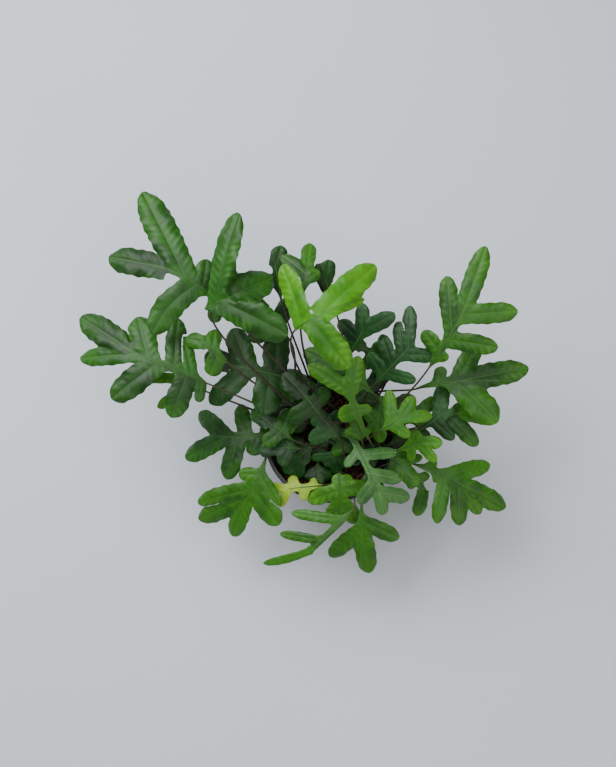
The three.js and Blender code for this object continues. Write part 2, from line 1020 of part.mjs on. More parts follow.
// The blade as one open sheet of triangles that face up. The rib's stations join the lobes
// of both sides, and each lobe is a strip of cross-sections that ends in a point.
function bladeSheet(frond, seed) {
  const points = [];
  const halves = [];
  const faces = [];
  const addPoint = (point, half) => {
    points.push(point);
    halves.push(half);
    return points.length - 1;
  };
  const addFace = (a, b, c, hand) => faces.push(hand > 0 ? [a, b, c] : [a, c, b]);

  const places = [...frond.left, ...frond.right].map((values) => values[0]);
  const stations = [...new Set([0, ...places, frond.length])].sort((a, b) => a - b);
  const rib = stations.map((s) => addPoint(
    ribFrame(frond, s).point,
    s === 0 ? stalk.neckRadius : mix(blade.ribHalf, blade.ribEndHalf, s / frond.length),
  ));
  const fanOver = (corner, from, to, hand) => {
    for (let i = stations.indexOf(from); stations[i] < to; i += 1) {
      addFace(rib[i], rib[i + 1], corner, hand);
    }
  };

  const addLobe = (lobe, base, hand, [before, after]) => {
    const start = Math.max(base.u, base.frontU);
    const rows = lobe.length < shortLobe ? shortRows : longRows;
    let { back, middle, front } = base;
    rows.forEach((row) => {
      const u = mix(start, lobe.length, row);
      const nextBack = addPoint(lobePoint(lobe, u, edgeShare(lobe, before, u)), blade.marginHalf);
      const nextMiddle = addPoint(lobePoint(lobe, u, 0), blade.veinHalf);
      const nextFront = addPoint(lobePoint(lobe, u, -edgeShare(lobe, after, u)), blade.marginHalf);
      addFace(back, middle, nextMiddle, hand);
      addFace(back, nextMiddle, nextBack, hand);
      addFace(middle, front, nextFront, hand);
      addFace(middle, nextFront, nextMiddle, hand);
      [back, middle, front] = [nextBack, nextMiddle, nextFront];
    });
    const tip = addPoint(lobePoint(lobe, lobe.length, 0), blade.marginHalf);
    addFace(back, middle, tip, hand);
    addFace(middle, front, tip, hand);
  };

  const endLobe = makeLobe(frond, [frond.length, ...frond.tip], 0, seed);
  const neckFrame = ribFrame(frond, 0);
  const ends = [frond.left, frond.right].map((side, index) => {
    const hand = index === 0 ? 1 : -1;
    const reach = hand * stalk.neckRadius * Math.cos(Math.PI / 6);
    const corner = addPoint(
      neckFrame.point.clone().addScaledVector(neckFrame.side, reach),
      stalk.neckRadius * Math.sin(Math.PI / 6),
    );
    const lobes = side.map((values, i) => makeLobe(frond, values, hand, seed + (i + 1) * hand * 0.1));
    const first = lobes[0] ?? endLobe;
    const across = first.isEnd ? hand : 1;
    const firstU = edgeStart(first, across, hand);
    const firstBack = lobePoint(first, firstU, across);
    let back = corner;
    let u = 0;
    if (firstBack.clone().sub(neckFrame.point).dot(neckFrame.along) > blade.neckLength) {
      back = addPoint(firstBack, blade.marginHalf);
      fanOver(corner, 0, first.at, hand);
      addFace(rib[stations.indexOf(first.at)], back, corner, hand);
      u = firstU;
    } else {
      fanOver(corner, 0, first.at, hand);
    }
    lobes.forEach((lobe, i) => {
      const next = lobes[i + 1] ?? endLobe;
      const sinus = findSinus(lobe, next, hand);
      const front = addPoint(sinus.front, blade.marginHalf);
      const middle = rib[stations.indexOf(lobe.at)];
      addLobe(lobe, { u, frontU: sinus.u, back, middle, front }, hand, [lobes[i - 1], next]);
      fanOver(front, lobe.at, next.at, hand);
      back = front;
      u = sinus.nextU;
      if (sinus.back) {
        back = addPoint(sinus.back, blade.marginHalf);
        addFace(rib[stations.indexOf(next.at)], back, front, hand);
      }
    });
    return { back, u, corner, last: lobes[lobes.length - 1] };
  });
  addLobe(endLobe, {
    u: ends[0].u,
    frontU: ends[1].u,
    back: ends[0].back,
    middle: rib[rib.length - 1],
    front: ends[1].back,
  }, 1, [ends[0].last, ends[1].last]);
  return { points, halves, faces, neck: [ends[0].corner, rib[0], ends[1].corner] };
}

// Six points round a stalk, starting at its left and going over the top.
function stalkRing(point, side, up, radius) {
  return Array.from({ length: 6 }, (unused, i) => {
    const angle = toRadians(30 + 60 * i);
    return point.clone()
      .addScaledVector(side, radius * Math.cos(angle))
      .addScaledVector(up, radius * Math.sin(angle));
  });
}

// The stalk's path from its foot up to the blade, with a frame at each ring.
function stalkFrames(frond) {
  const neck = ribFrame(frond, 0);
  const [x, y] = frond.foot;
  const foot = new THREE.Vector3(x, y, soil.top + stalk.collar);
  const distance = foot.distanceTo(neck.point);
  const [rise, approach] = frond.sweep ?? [stalk.rise, stalk.approach];
  const path = new THREE.CubicBezierCurve3(
    foot,
    foot.clone().add(new THREE.Vector3(0, 0, distance * rise)),
    neck.point.clone().addScaledVector(neck.along, -distance * approach),
    neck.point,
  );
  const frames = [];
  let { side } = neck;
  for (let i = stalk.rings; i >= 0; i -= 1) {
    const share = i / (stalk.rings + 1);
    const along = path.getTangent(share);
    side = side.clone().addScaledVector(along, -side.dot(along)).normalize();
    const up = new THREE.Vector3().crossVectors(along, side);
    const radius = mix(stalk.footRadius, stalk.neckRadius, share);
    frames.unshift({ point: path.getPoint(share), side, up, radius });
  }
  return frames;
}

// A frond is one solid: the sheet thickened along its normals, with the stalk's rings
// joined to the six points of its neck.
function frondGeometry(frond, seed) {
  const { points, halves, faces, neck } = bladeSheet(frond, seed);
  const normals = points.map(() => new THREE.Vector3());
  faces.forEach(([a, b, c]) => {
    const edge = points[b].clone().sub(points[a]);
    const normal = edge.cross(points[c].clone().sub(points[a]));
    [a, b, c].forEach((index) => normals[index].add(normal));
  });
  const lift = (index, sign) => points[index].clone()
    .addScaledVector(normals[index].normalize(), sign * halves[index]);
  const count = points.length;
  const vertices = [
    ...points.map((point, index) => lift(index, 1)),
    ...points.map((point, index) => lift(index, -1)),
  ];
  const triangles = [];
  const edges = new Set(faces.flatMap(([a, b, c]) => [`${a},${b}`, `${b},${c}`, `${c},${a}`]));
  faces.forEach(([a, b, c]) => {
    triangles.push([a, b, c], [c + count, b + count, a + count]);
    [[a, b], [b, c], [c, a]].forEach(([from, to]) => {
      const inside = edges.has(`${to},${from}`);
      const atNeck = neck.includes(from) && neck.includes(to);
      if (!inside && !atNeck) {
        triangles.push([from + count, to + count, to], [from + count, to, from]);
      }
    });
  });

  const [left, middle, right] = neck;
  let ring = [left, middle, right, right + count, middle + count, left + count];
  const frames = stalkFrames(frond);
  frames.unshift({ ...frames[0], point: frames[0].point.clone().setZ(soil.top - stalk.footDepth) });
  frames.reverse().forEach((frame) => {
    const start = vertices.length;
    vertices.push(...stalkRing(frame.point, frame.side, frame.up, frame.radius));
    for (let i = 0; i < 6; i += 1) {
      const j = (i + 1) % 6;
      triangles.push([start + i, start + j, ring[j]], [start + i, ring[j], ring[i]]);
    }
    ring = [0, 1, 2, 3, 4, 5].map((i) => start + i);
  });
  for (let i = 1; i < 5; i += 1) triangles.push([ring[0], ring[i + 1], ring[i]]);
  return toGeometry(vertices, triangles);
}

function toGeometry(vertices, triangles) {
  const geometry = new THREE.BufferGeometry();
  geometry.setAttribute('position', new THREE.Float32BufferAttribute(
    vertices.flatMap((vertex) => vertex.toArray()),
    3,
  ));
  geometry.setIndex(triangles.flat());
  geometry.computeVertexNormals();
  return geometry;
}

const wasm = await Module();
wasm.setup();

function toSolid(source) {
  const geometry = source.clone();
  geometry.deleteAttribute('normal');
  geometry.deleteAttribute('uv');
  const merged = mergeVertices(geometry, 1e-4);
  return new wasm.Manifold(new wasm.Mesh({
    numProp: 3,
    vertProperties: merged.attributes.position.array,
    triVerts: new Uint32Array(merged.index.array),
  }));
}

function fromSolid(solid) {
  const { vertProperties, triVerts } = solid.getMesh();
  const geometry = new THREE.BufferGeometry();
  geometry.setAttribute('position', new THREE.BufferAttribute(vertProperties, 3));
  geometry.setIndex(new THREE.BufferAttribute(triVerts, 1));
  geometry.computeVertexNormals();
  return geometry;
}

// A turned shape round +Z from a profile of [radius, height] points.
function turned(profile) {
  const points = profile.map(([radius, height]) => new THREE.Vector2(radius, height));
  const geometry = new THREE.LatheGeometry(points, pot.facets);
  geometry.rotateX(Math.PI / 2);
  return geometry;
}

const wallTopRadius = pot.rimRadius - pot.rimLip;
const wallSlope = (wallTopRadius - pot.baseRadius) / pot.height;
const wallRadius = (height) => pot.baseRadius + wallSlope * height;

function potGeometry() {
  const lipUnder = pot.height - pot.rimDepth;
  const round = pot.edgeRound;
  const shell = turned([
    [0, 0],
    [wallRadius(0) - round, 0],
    [wallRadius(round), round],
    [wallRadius(lipUnder), lipUnder],
    [pot.rimRadius - pot.rimSlope, lipUnder],
    [pot.rimRadius, pot.height - round],
    [pot.rimRadius - round, pot.height],
    [wallTopRadius - pot.wall, pot.height],
    [wallRadius(pot.floor) - pot.wall, pot.floor],
    [0, pot.floor],
  ]);
  const holes = [];
  for (let i = 0; i < pot.drainHoles; i += 1) {
    const depth = 3 * pot.floor;
    const hole = new THREE.CylinderGeometry(pot.drainRadius, pot.drainRadius, depth, pot.drainFacets);
    hole.rotateX(Math.PI / 2);
    const turn = (2 * Math.PI * i) / pot.drainHoles;
    hole.translate(pot.drainCircle * Math.cos(turn), pot.drainCircle * Math.sin(turn), 0);
    holes.push(toSolid(hole));
  }
  return fromSolid(toSolid(shell).subtract(wasm.Manifold.union(holes)));
}

// A straight hole for one stalk, its gap wider than the foot on every side and below it.
function stalkHole(frond) {
  const { point, side, up } = stalkFrames(frond)[0];
  const reach = stalk.footRadius + stalk.holeGap / Math.cos(Math.PI / 6);
  const low = stalkRing(point.clone().setZ(soil.top - stalk.footDepth - stalk.holeGap), side, up, reach);
  const high = stalkRing(point.clone().setZ(soil.top + stalk.collar), side, up, reach);
  const triangles = [];
  for (let i = 0; i < 6; i += 1) {
    const j = (i + 1) % 6;
    triangles.push([i, j, j + 6], [i, j + 6, i + 6]);
  }
  for (let i = 1; i < 5; i += 1) triangles.push([0, i + 1, i], [6, i + 6, i + 7]);
  return toSolid(toGeometry([...low, ...high], triangles));
}

function soilGeometry() {
  const inset = pot.wall + soil.clearance;
  const bottom = pot.floor + soil.clearance;
  const fill = turned([
    [0, bottom],
    [wallRadius(bottom) - inset, bottom],
    [wallRadius(soil.top) - inset, soil.top],
    [0, soil.top],
  ]);
  return fromSolid(toSolid(fill).subtract(wasm.Manifold.union(fronds.map(stalkHole))));
}

function piece(name, geometry, colour, look) {
  const mesh = new THREE.Mesh(geometry, new THREE.MeshStandardMaterial({ color: colour, ...look }));
  mesh.name = name;
  return mesh;
}

const group = new THREE.Group();
group.add(piece('nursery_pot', potGeometry(), potColour, { roughness: 0.38, metalness: 0 }));
group.add(piece('potting_soil', soilGeometry(), soilColour, { roughness: 0.95, metalness: 0 }));
fronds.forEach((frond, index) => {
  const geometry = frondGeometry(frond, index + 1);
  group.add(piece(`frond_${frond.name}`, geometry, toneColours[frond.tone], leafLook));
});

export default group;
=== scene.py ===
import math
import bpy
import numpy as np
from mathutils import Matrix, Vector


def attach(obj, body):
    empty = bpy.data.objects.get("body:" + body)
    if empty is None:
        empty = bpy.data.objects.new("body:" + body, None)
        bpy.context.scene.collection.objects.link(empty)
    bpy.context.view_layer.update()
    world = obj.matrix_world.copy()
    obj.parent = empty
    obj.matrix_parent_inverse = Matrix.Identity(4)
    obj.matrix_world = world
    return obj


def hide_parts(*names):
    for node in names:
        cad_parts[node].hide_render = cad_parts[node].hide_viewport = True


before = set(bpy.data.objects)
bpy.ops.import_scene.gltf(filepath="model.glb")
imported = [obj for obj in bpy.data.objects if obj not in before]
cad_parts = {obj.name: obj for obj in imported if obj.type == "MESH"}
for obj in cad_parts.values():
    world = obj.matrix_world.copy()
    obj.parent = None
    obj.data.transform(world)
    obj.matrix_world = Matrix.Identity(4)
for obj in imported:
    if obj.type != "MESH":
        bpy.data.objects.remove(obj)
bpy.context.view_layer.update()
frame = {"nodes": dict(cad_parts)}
mm = 0.001
print("frame loaded")

# The camera looks down on the plant from 81 degrees, as the photograph does
cameraView = {
    "place": (-20.0, -139.68, 1284.83),
    "elevation": 81.0,
    "focalPixels": 1320.0,
    "imageHeight": 767.0,
    "sensor": 36.0,
}


def placeObject(name, data):
    made = bpy.data.objects.new(name, data)
    bpy.context.scene.collection.objects.link(made)
    return made


def placeCamera():
    data = bpy.data.cameras.new("plantCamera")
    data.sensor_width = cameraView["sensor"]
    data.lens = cameraView["focalPixels"] / cameraView["imageHeight"] * cameraView["sensor"]
    data.clip_start, data.clip_end = 0.01, 20
    camera = placeObject("plantCamera", data)
    camera.location = [v * mm for v in cameraView["place"]]
    camera.rotation_euler = (math.radians(90 - cameraView["elevation"]), 0, 0)
    bpy.context.scene.camera = camera


placeCamera()


# Materials: a wrapped socket takes part in Python sums, and one call makes any other node
class Wire:
    def __init__(self, paint, socket):
        self.paint, self.socket = paint, socket

    def sum(self, kind, left, right):
        return self.paint.node("ShaderNodeMath", {"operation": kind}, {0: left, 1: right})

    __add__ = lambda self, other: self.sum("ADD", self, other)
    __radd__ = lambda self, other: self.sum("ADD", other, self)
    __sub__ = lambda self, other: self.sum("SUBTRACT", self, other)
    __rsub__ = lambda self, other: self.sum("SUBTRACT", other, self)
    __mul__ = lambda self, other: self.sum("MULTIPLY", self, other)
    __rmul__ = lambda self, other: self.sum("MULTIPLY", other, self)


class Paint:
    def __init__(self, name, **fixed):
        self.material = bpy.data.materials.new(name)
        self.material.use_nodes = True
        self.tree = self.material.node_tree
        self.shader = self.tree.nodes["Principled BSDF"]
        for socket, value in fixed.items():
            self.shader.inputs[socket.replace("_", " ")].default_value = value

    def node(self, kind, settings=None, inputs=None, output=0):
        made = self.tree.nodes.new(kind)
        for key, value in (settings or {}).items():
            if key == "stops":
                for place, code in value[1:-1]:
                    made.color_ramp.elements.new(place).color = colour(code)
                for end in (0, -1):
                    stop = made.color_ramp.elements[end]
                    stop.position, stop.color = value[end][0], colour(value[end][1])
            else:
                setattr(made, key, value)
        for key, value in (inputs or {}).items():
            if isinstance(value, Wire):
                self.tree.links.new(value.socket, made.inputs[key])
            else:
                made.inputs[key].default_value = value
        return Wire(self, made.outputs[output])

    def feed(self, socket, wire):
        self.tree.links.new(wire.socket, self.shader.inputs[socket])

    def attribute(self, name, output="Fac"):
        return self.node("ShaderNodeAttribute", {"attribute_name": name}, output=output)

    def place(self):
        return self.node("ShaderNodeTexCoord", output="Object")

    def band(self, value, low, high):
        return self.node("ShaderNodeMapRange", {"interpolation_type": "SMOOTHSTEP"},
                         {"Value": value, "From Min": low, "From Max": high})

    def noise(self, vector, scale, detail=2.0, roughness=0.5):
        return self.node("ShaderNodeTexNoise", {}, {"Vector": vector, "Scale": scale,
                         "Detail": detail, "Roughness": roughness})

    def mix(self, share, first, second, kind="MIX"):
        return self.node("ShaderNodeMix", {"data_type": "RGBA", "blend_type": kind},
                         {0: share, 6: first, 7: second}, output=2)

    def ramp(self, value, stops):
        return self.node("ShaderNodeValToRGB", {"stops": stops}, {"Fac": value})

    # Joins the colour, the roughness and the bumps to the shader
    def finish(self, base, roughness, height, distance, strength=1.0):
        self.feed("Base Color", base)
        self.feed("Roughness", roughness)
        self.feed("Normal", self.node("ShaderNodeBump", {}, {"Height": height,
                  "Distance": distance, "Strength": strength}))
        return self.material


def colour(code):
    parts = [int(code[i:i + 2], 16) / 255 for i in (0, 2, 4)]
    return tuple(v / 12.92 if v < 0.04045 else ((v + 0.055) / 1.055) ** 2.4 for v in parts) + (1,)


def addMesh(name, points, faces, materials, smooth=True):
    data = bpy.data.meshes.new(name)
    data.from_pydata(np.asarray(points).tolist(), [], faces if isinstance(faces, list) else faces.tolist())
    for material in materials:
        data.materials.append(material)
    if smooth:
        data.shade_smooth()
    return placeObject(name, data)


def storeValues(data, name, values):
    data.attributes.new(name, "FLOAT", "POINT").data.foreach_set("value", np.asarray(values, np.float32))


# A finished copy of a piece as plain mesh, with its modifiers applied
def settle(piece, name):
    graph = bpy.context.evaluated_depsgraph_get()
    data = bpy.data.meshes.new_from_object(piece.evaluated_get(graph), depsgraph=graph)
    bpy.data.objects.remove(piece)
    return placeObject(name, data)


# How a blade is filled, tapered, curved and veined, and how its stalk is drawn
blade = {
    "grid": 0.95, "half": 0.24, "marginHalf": 0.13, "marginRun": 1.8,
    "baseShare": 0.85, "widestFrom": 0.5, "taperPower": 3.2, "taperRound": 0.6,
    "droop": 0.2, "droopRange": (0.7, 1.3), "cup": 0.22, "thinnest": 0.35,
    "wave": 0.07, "waveLength": 21.0, "wavePhase": 1.3,
    "ripple": 0.035, "rippleLength": 9.5, "ripplePhase": 2.1,
    "sideVeins": 6.5, "veinSlant": 0.55, "quilt": 0.045,
    "pucker": 0.12, "puckerRun": (0.08, 0.45), "puckerEdge": 0.75,
    "neck": 1.0, "wing": 3.0, "wingRun": 5, "web": 3.2, "webEnd": 0.5, "webRun": (5, 12),
    "seam": 0.45, "seamHold": 8.0, "seamEase": 3.0, "ribYield": 0.6, "softness": 1.4,
    "sinus": {"start": 3.0, "step": 0.5, "gap": 0.8, "reach": 0.6},
    "snap": {"near": 0.9, "probe": 0.04, "flattest": 0.2, "furthest": 0.42},
}
stalk = {
    "soilTop": 85.0, "footDepth": 6.0, "collar": 1.5, "rise": 0.45, "approach": 0.32,
    "footRadius": 1.15, "neckRadius": 0.8, "ribEndRadius": 0.42,
    "veinRadius": 0.2, "veinEndRadius": 0.1, "veinReach": 0.95, "veinLift": 0.1, "veinAge": 1.35,
    "sides": 8, "bends": 28, "ribSteps": 16, "veinSteps": 12,
}


# A frond, in millimetres and degrees: where its stalk leaves the soil, where the blade starts,
# the rib's heading there, its turn, its pitch at both ends and its length, then the lobe at
# its tip and those on its left and right. A side lobe is (place along the rib, angle from it,
# length, width, bend), and the tip leaves out the place. Last comes how far the stalk runs
# straight up and straight into the blade, and how far the lobes droop.
def frondOf(name, tone, foot, base, heading, turn, pitch, length, tip, left, right,
            sweep=None, droop=blade["droop"]):
    return {"name": name, "tone": tone, "foot": foot, "base": base, "heading": heading, "turn": turn,
            "pitch": pitch, "length": length, "tip": tip, "left": left, "right": right,
            "sweep": sweep or (stalk["rise"], stalk["approach"]), "droop": droop}


fronds = [frondOf(*values) for values in (
    ("upper_left_outer", "dark", (-6, 15), (-94, 101, 191), 135, 25, (30, -5), 56, (5, 53, 24),
     [(6, 130, 19, 13), (26, 60, 56, 24, 40)], [(21, 60, 26, 17), (38, 35, 87, 27)], (0.6, 0.15), 0.18),
    ("upper_left_inner", "dark", (-9, 2), (-98, 93, 224), 20, 0, (65, -5), 17, (10, 41, 26),
     [(6, 55, 82, 25, -14)], [(10, 45, 65, 27)], (0.45, 0.3), 0.21),
    ("left_outer", "dark", (-39, 14), (-108, 38, 168), 160, -5, (20, -10), 68, (-10, 61, 24),
     [(3, 100, 18, 10), (17, 90, 38, 21), (44, 60, 50, 24), (63, 25, 53, 17)],
     [(12, 55, 40, 13), (29, 70, 46, 18), (53, 50, 40, 24)], (0.3, 0.55)),
    ("left_inner", "deep", (9, 18), (-30, 44, 145), 170, -5, (25, -15), 61, (-10, 26, 19),
     [(11, 115, 23, 19), (25, 95, 36, 25), (44, 55, 45, 20)], [(20, 80, 40, 24), (44, 55, 40, 22)],
     (0.5, 0.25), 0.2),
    ("top_bright", "bright", (-6, 22), (-30, 72, 230), 25, 0, (65, 0), 26, (20, 66, 23),
     [(10, 75, 54, 22, 12)], [(19, 80, 49, 24, -12), (26, 0, 41, 11)], (0.4, 0.3), 0.3),
    ("middle_bright", "bright", (39, -16), (33, -8, 143), 125, -20, (50, 25), 52, (-25, 33, 15),
     [(34, 85, 16, 16), (52, 40, 45, 15)], [(34, 105, 14, 10)], (0.25, 0.55), 0.26),
    ("middle_back", "mid", (22, 25), (37, 31, 151), 145, 0, (30, 0), 31, (5, 42, 18), [(16, 75, 17, 12)],
     [(16, 45, 23, 14)], None, 0.17),
    ("upper_dark", "blue", (4, 39), (17, 67, 146), 60, 0, (40, 30), 24, (25, 27, 13),
     [(8, 115, 16, 13), (16, 70, 24, 15)], [(24, 30, 35, 15)], (0.55, 0.3)),
    ("right_centre_blue", "blue", (26, 18), (36, 38, 141), 45, 0, (35, 20), 49, (40, 39, 13),
     [(16, 75, 24, 13), (28, 60, 30, 13), (42, 50, 30, 13)], [(18, 55, 29, 12), (41, 45, 35, 13)],
     (0.6, 0.25)),
    ("right_upper_outer", "mid", (26, 5), (84, 51, 171), 55, 5, (35, 15), 53, (10, 64, 18),
     [(17, 70, 23, 14), (37, 35, 49, 17)], [(10, 45, 12, 9), (29, 65, 44, 17), (53, 55, 48, 18)],
     (0.2, 0.45), 0.13),
    ("right_outer", "mid", (30, 39), (76, 39, 126), 15, -15, (35, 10), 38, (10, 65, 22),
     [(21, 65, 16, 12), (38, 60, 39, 18)], [(38, 45, 51, 26)], (0.65, 0.15), 0.17),
    ("right_lower_back", "mid", (48, 1), (93, 11, 111), 20, 0, (15, -5), 23, (-25, 33, 14),
     [(15, 15, 25, 13)], [(15, 65, 36, 15)]),
    ("lower_right_outer", "mid", (44, -3), (75, -26, 104), -15, -15, (10, -15), 43, (5, 52, 19),
     [(12, 55, 11, 8), (30, 40, 44, 16)],
     [(21, 50, 10, 11), (30, 75, 43, 14), (43, 55, 38, 17), (43, 20, 36, 14)], (0.55, 0.3)),
    ("right_centre_bright", "bright", (31, -4), (43, -1, 148), 30, 0, (35, 5), 22, (30, 22, 12),
     [(11, 60, 31, 12)], [(11, 60, 20, 10), (22, 25, 27, 11)], (0.35, 0.4)),
    ("centre_right_small", "mid", (33, 6), (30, 1, 122), 45, 0, (25, 20), 18, (25, 21, 14),
     [(14, 80, 14, 13)], [(18, 130, 22, 13)], (0.4, 0.35), 0.14),
    ("right_lower_small", "bright", (42, -19), (58, -16, 119), 20, 0, (35, 25), 23, (-20, 23, 12),
     [(16, 40, 15, 12)], [(16, 110, 14, 9), (23, 65, 24, 10)], None, 0.18),
    ("lower_pale", "pale", (26, 11), (15, 4, 122), -65, 0, (40, -20), 67, (-10, 21, 12),
     [(31, 70, 32, 11), (49, 55, 28, 12), (67, 55, 29, 14)],
     [(8, 140, 22, 9), (26, 65, 19, 9), (57, 60, 23, 12)], (0.5, 0.4), 0.29),
    ("lower_centre", "bright", (20, -38), (8, -35, 110), -90, 0, (10, -40), 24, (35, 32, 17),
     [(6, 100, 12, 9), (14, 95, 30, 15)], [(6, 100, 7, 9), (14, 70, 30, 15), (24, 20, 26, 14)],
     (0.55, 0.15), 0.17),
    ("bottom_outer", "mid", (28, -37), (28, -60, 99), -90, 0, (-5, -30), 24, (10, 46, 19),
     [(17, 65, 38, 16)], [(24, 45, 40, 17)], None, 0.21),
    ("bottom_narrow", "mid", (15, -42), (19, -68, 104), -137, 0, (0, -20), 52, (-20, 46, 8, -15), [],
     [(12, 52, 46, 10), (38, 52, 38, 9)], (0.5, 0.35)),
    ("young_yellow", "yellow", (5, -40), (-7, -45, 103), -175, 0, (5, -20), 31, (-15, 19, 8),
     [(15, 70, 12, 9), (31, 55, 18, 9)], [(9, 105, 8, 6), (25, 80, 12, 10)], (0.4, 0.25), 0.29),
    ("left_lower", "dark", (-37, 7), (-49, 1, 105), -170, -15, (15, -25), 45, (25, 47, 19),
     [(16, 65, 18, 15), (34, 75, 39, 19)], [(9, 85, 10, 9), (27, 80, 31, 15), (45, 35, 40, 17)], (0.6, 0.35)),
    ("lower_left_outer", "mid", (-44, -5), (-57, -18, 108), -105, -20, (5, -30), 43, (10, 42, 17),
     [(19, 55, 33, 14), (33, 65, 40, 21)], [(19, 70, 19, 13), (33, 45, 54, 19), (43, 30, 55, 19)]),
    ("centre_dark_left", "blue", (15, -36), (8, -6, 124), 130, 0, (40, 15), 21, (20, 15, 16),
     [(12, 70, 23, 15)], [(12, 55, 19, 13)], (0.45, 0.15), 0.17),
    ("centre_dark_front", "blue", (1, 5), (7, 0, 104), -100, 0, (15, -25), 19, (20, 18, 11),
     [(6, 100, 15, 10), (19, 60, 16, 9)], [(5, 95, 14, 8), (19, 75, 22, 9), (19, 35, 13, 9)], None, 0.16),
    ("front_left_round", "blue", (-19, 4), (-13, -5, 103), -135, 0, (5, -20), 20, (-5, 21, 21),
     [(12, 40, 12, 9), (20, 35, 20, 12)], [(12, 70, 24, 16)], (0.55, 0.25), 0.21),
    ("left_small_edge", "mid", (-5, 8), (-25, 10, 114), -170, 0, (20, -15), 24, (-40, 16, 9),
     [(9, 50, 11, 8)], [(9, 60, 10, 8)]),
    ("centre_mid_small", "mid", (19, -14), (27, -8, 135), 115, 0, (50, 35), 15, (-10, 13, 11),
     [(7, 45, 15, 10)], [(7, 95, 11, 9)], (0.6, 0.4), 0.22),
    ("top_centre_back", "mid", (-14, 44), (-25, 103, 211), 80, 0, (30, -15), 26, (5, 25, 13),
     [(20, 60, 27, 13)], [(14, 45, 15, 11)]),
    ("top_left_dark", "deep", (-17, 47), (-43, 107, 185), 100, 0, (45, 15), 30, (-25, 19, 14),
     [(13, 45, 20, 10)], [(16, 65, 18, 10)], (0.25, 0.15)),
    ("top_right_dark", "deep", (11, 37), (2, 102, 186), 110, 0, (30, 25), 22, (-25, 19, 14),
     [(10, 5, 30, 13)], [(10, 90, 14, 12)], (0.55, 0.55), 0.11),
    ("upper_left_light", "mid", (-37, 33), (-89, 55, 171), 140, 0, (25, 5), 25, (25, 18, 14),
     [(11, 110, 19, 16)], [(17, 55, 18, 13)], (0.2, 0.4)),
    ("upper_centre_deep", "deep", (-33, 35), (-36, 79, 147), 135, 0, (40, 15), 35, (10, 30, 18),
     [(18, 65, 28, 17)], [(18, 65, 28, 16)], (0.5, 0.2), 0.2),
    ("right_back_dull", "mid", (40, 30), (51, 61, 129), 150, 0, (30, 5), 28, (-10, 20, 13),
     [(15, 75, 15, 12)], [(15, 85, 14, 12)], (0.6, 0.2)),
    ("lower_right_mass", "mid", (40, 1), (48, -13, 105), -45, 0, (20, 5), 24, (-5, 21, 15),
     [(13, 85, 17, 9), (18, 60, 23, 9)], [(16, 75, 12, 10), (20, 50, 16, 10)], (0.7, 0.4), 0.24),
    ("lower_right_yellow", "mid", (39, -30), (71, -27, 101), -60, 0, (5, -35), 27, (-35, 25, 14),
     [(14, 80, 12, 9)], [(14, 75, 11, 8)]),
    ("right_lower_blue", "blue", (46, -17), (78, 2, 110), 35, 0, (25, 15), 24, (45, 32, 15), [],
     [(18, 75, 25, 12), (24, 0, 17, 12)], (0.35, 0.2), 0.18),
    ("left_under_yellow", "bright", (-48, 14), (-110, 36, 130), 160, 0, (25, 0), 32, (15, 37, 11),
     [(13, 50, 37, 11)], [(16, 60, 12, 4)], None, 0.21),
    ("centre_back_deep", "deep", (-2, 11), (-11, 24, 125), 160, 0, (35, 15), 24, (25, 21, 17),
     [(13, 75, 16, 13)], [(13, 90, 18, 13)], None, 0.12),
    ("north_deep_left", "deep", (1, 27), (2, 25, 106), 140, 0, (20, -10), 31, (10, 27, 18),
     [(15, 70, 22, 16)], [(15, 75, 24, 16)], (0.55, 0.25), 0.22),
    ("north_deep_right", "deep", (15, 19), (16, 22, 108), 45, 0, (25, 0), 31, (5, 23, 17),
     [(16, 75, 24, 15)], [(16, 55, 20, 14)], (0.45, 0.45), 0.11),
    ("east_deep", "deep", (34, 1), (38, 5, 107), 40, 0, (20, 0), 26, (-5, 23, 17), [(13, 65, 20, 15)],
     [(13, 60, 21, 15)], None, 0.16),
    ("west_deep", "deep", (-23, 20), (-13, 15, 98), 165, 0, (25, -5), 25, (0, 22, 15), [(12, 75, 17, 15)],
     [(12, 65, 19, 15)], (0.3, 0.45), 0.21),
    ("south_deep", "deep", (12, 5), (2, -3, 94), -150, 0, (10, -10), 20, (-5, 16, 13), [(10, 55, 14, 10)],
     [(10, 70, 14, 9)], (0.4, 0.5), 0.14),
    ("south_east_deep", "deep", (17, -5), (22, -7, 89), -50, 0, (35, 15), 18, (0, 12, 14),
     [(11, 70, 18, 13)], [(11, 75, 14, 13)], (0.35, 0.25), 0.08),
    ("east_low", "deep", (42, -11), (50, -9, 95), 20, 0, (20, 0), 23, (-10, 20, 14), [(12, 50, 17, 12)],
     [(12, 70, 15, 12)], (0.55, 0.3)),
    ("centre_cover", "deep", (32, 19), (-8, 9, 157), 130, 0, (45, 10), 28, (5, 26, 19), [(14, 75, 24, 17)],
     [(14, 75, 20, 15)], (0.5, 0.25), 0.2),
    ("centre_cover_left", "dark", (8, -12), (-34, -6, 126), 145, 0, (25, -10), 24, (-5, 22, 16),
     [(12, 70, 20, 14)], [(12, 75, 22, 15)], (0.2, 0.2), 0.26),
    ("front_left_edge", "blue", (-26, 3), (-27, -13, 117), 180, 0, (25, -10), 20, (5, 18, 14),
     [(10, 65, 17, 13)], [(10, 65, 16, 13)], (0.5, 0.2), 0.18),
    ("south_east_fill", "mid", (27, -30), (31, -28, 100), -55, 0, (25, -5), 14, (-5, 13, 11),
     [(9, 60, 13, 11)], [(9, 60, 13, 11)], (0.3, 0.3), 0.11),
    ("east_fill", "dark", (19, 5), (40, 8, 114), 40, 0, (25, 0), 20, (0, 18, 14), [(10, 70, 17, 13)],
     [(10, 70, 17, 13)], (0.4, 0.3), 0.14),
    ("centre_low_mid", "mid", (14, -21), (20, -18, 108), 125, 0, (20, -5), 18, (10, 15, 12),
     [(9, 75, 15, 11)], [(9, 75, 14, 11)], (0.35, 0.35), 0.29),
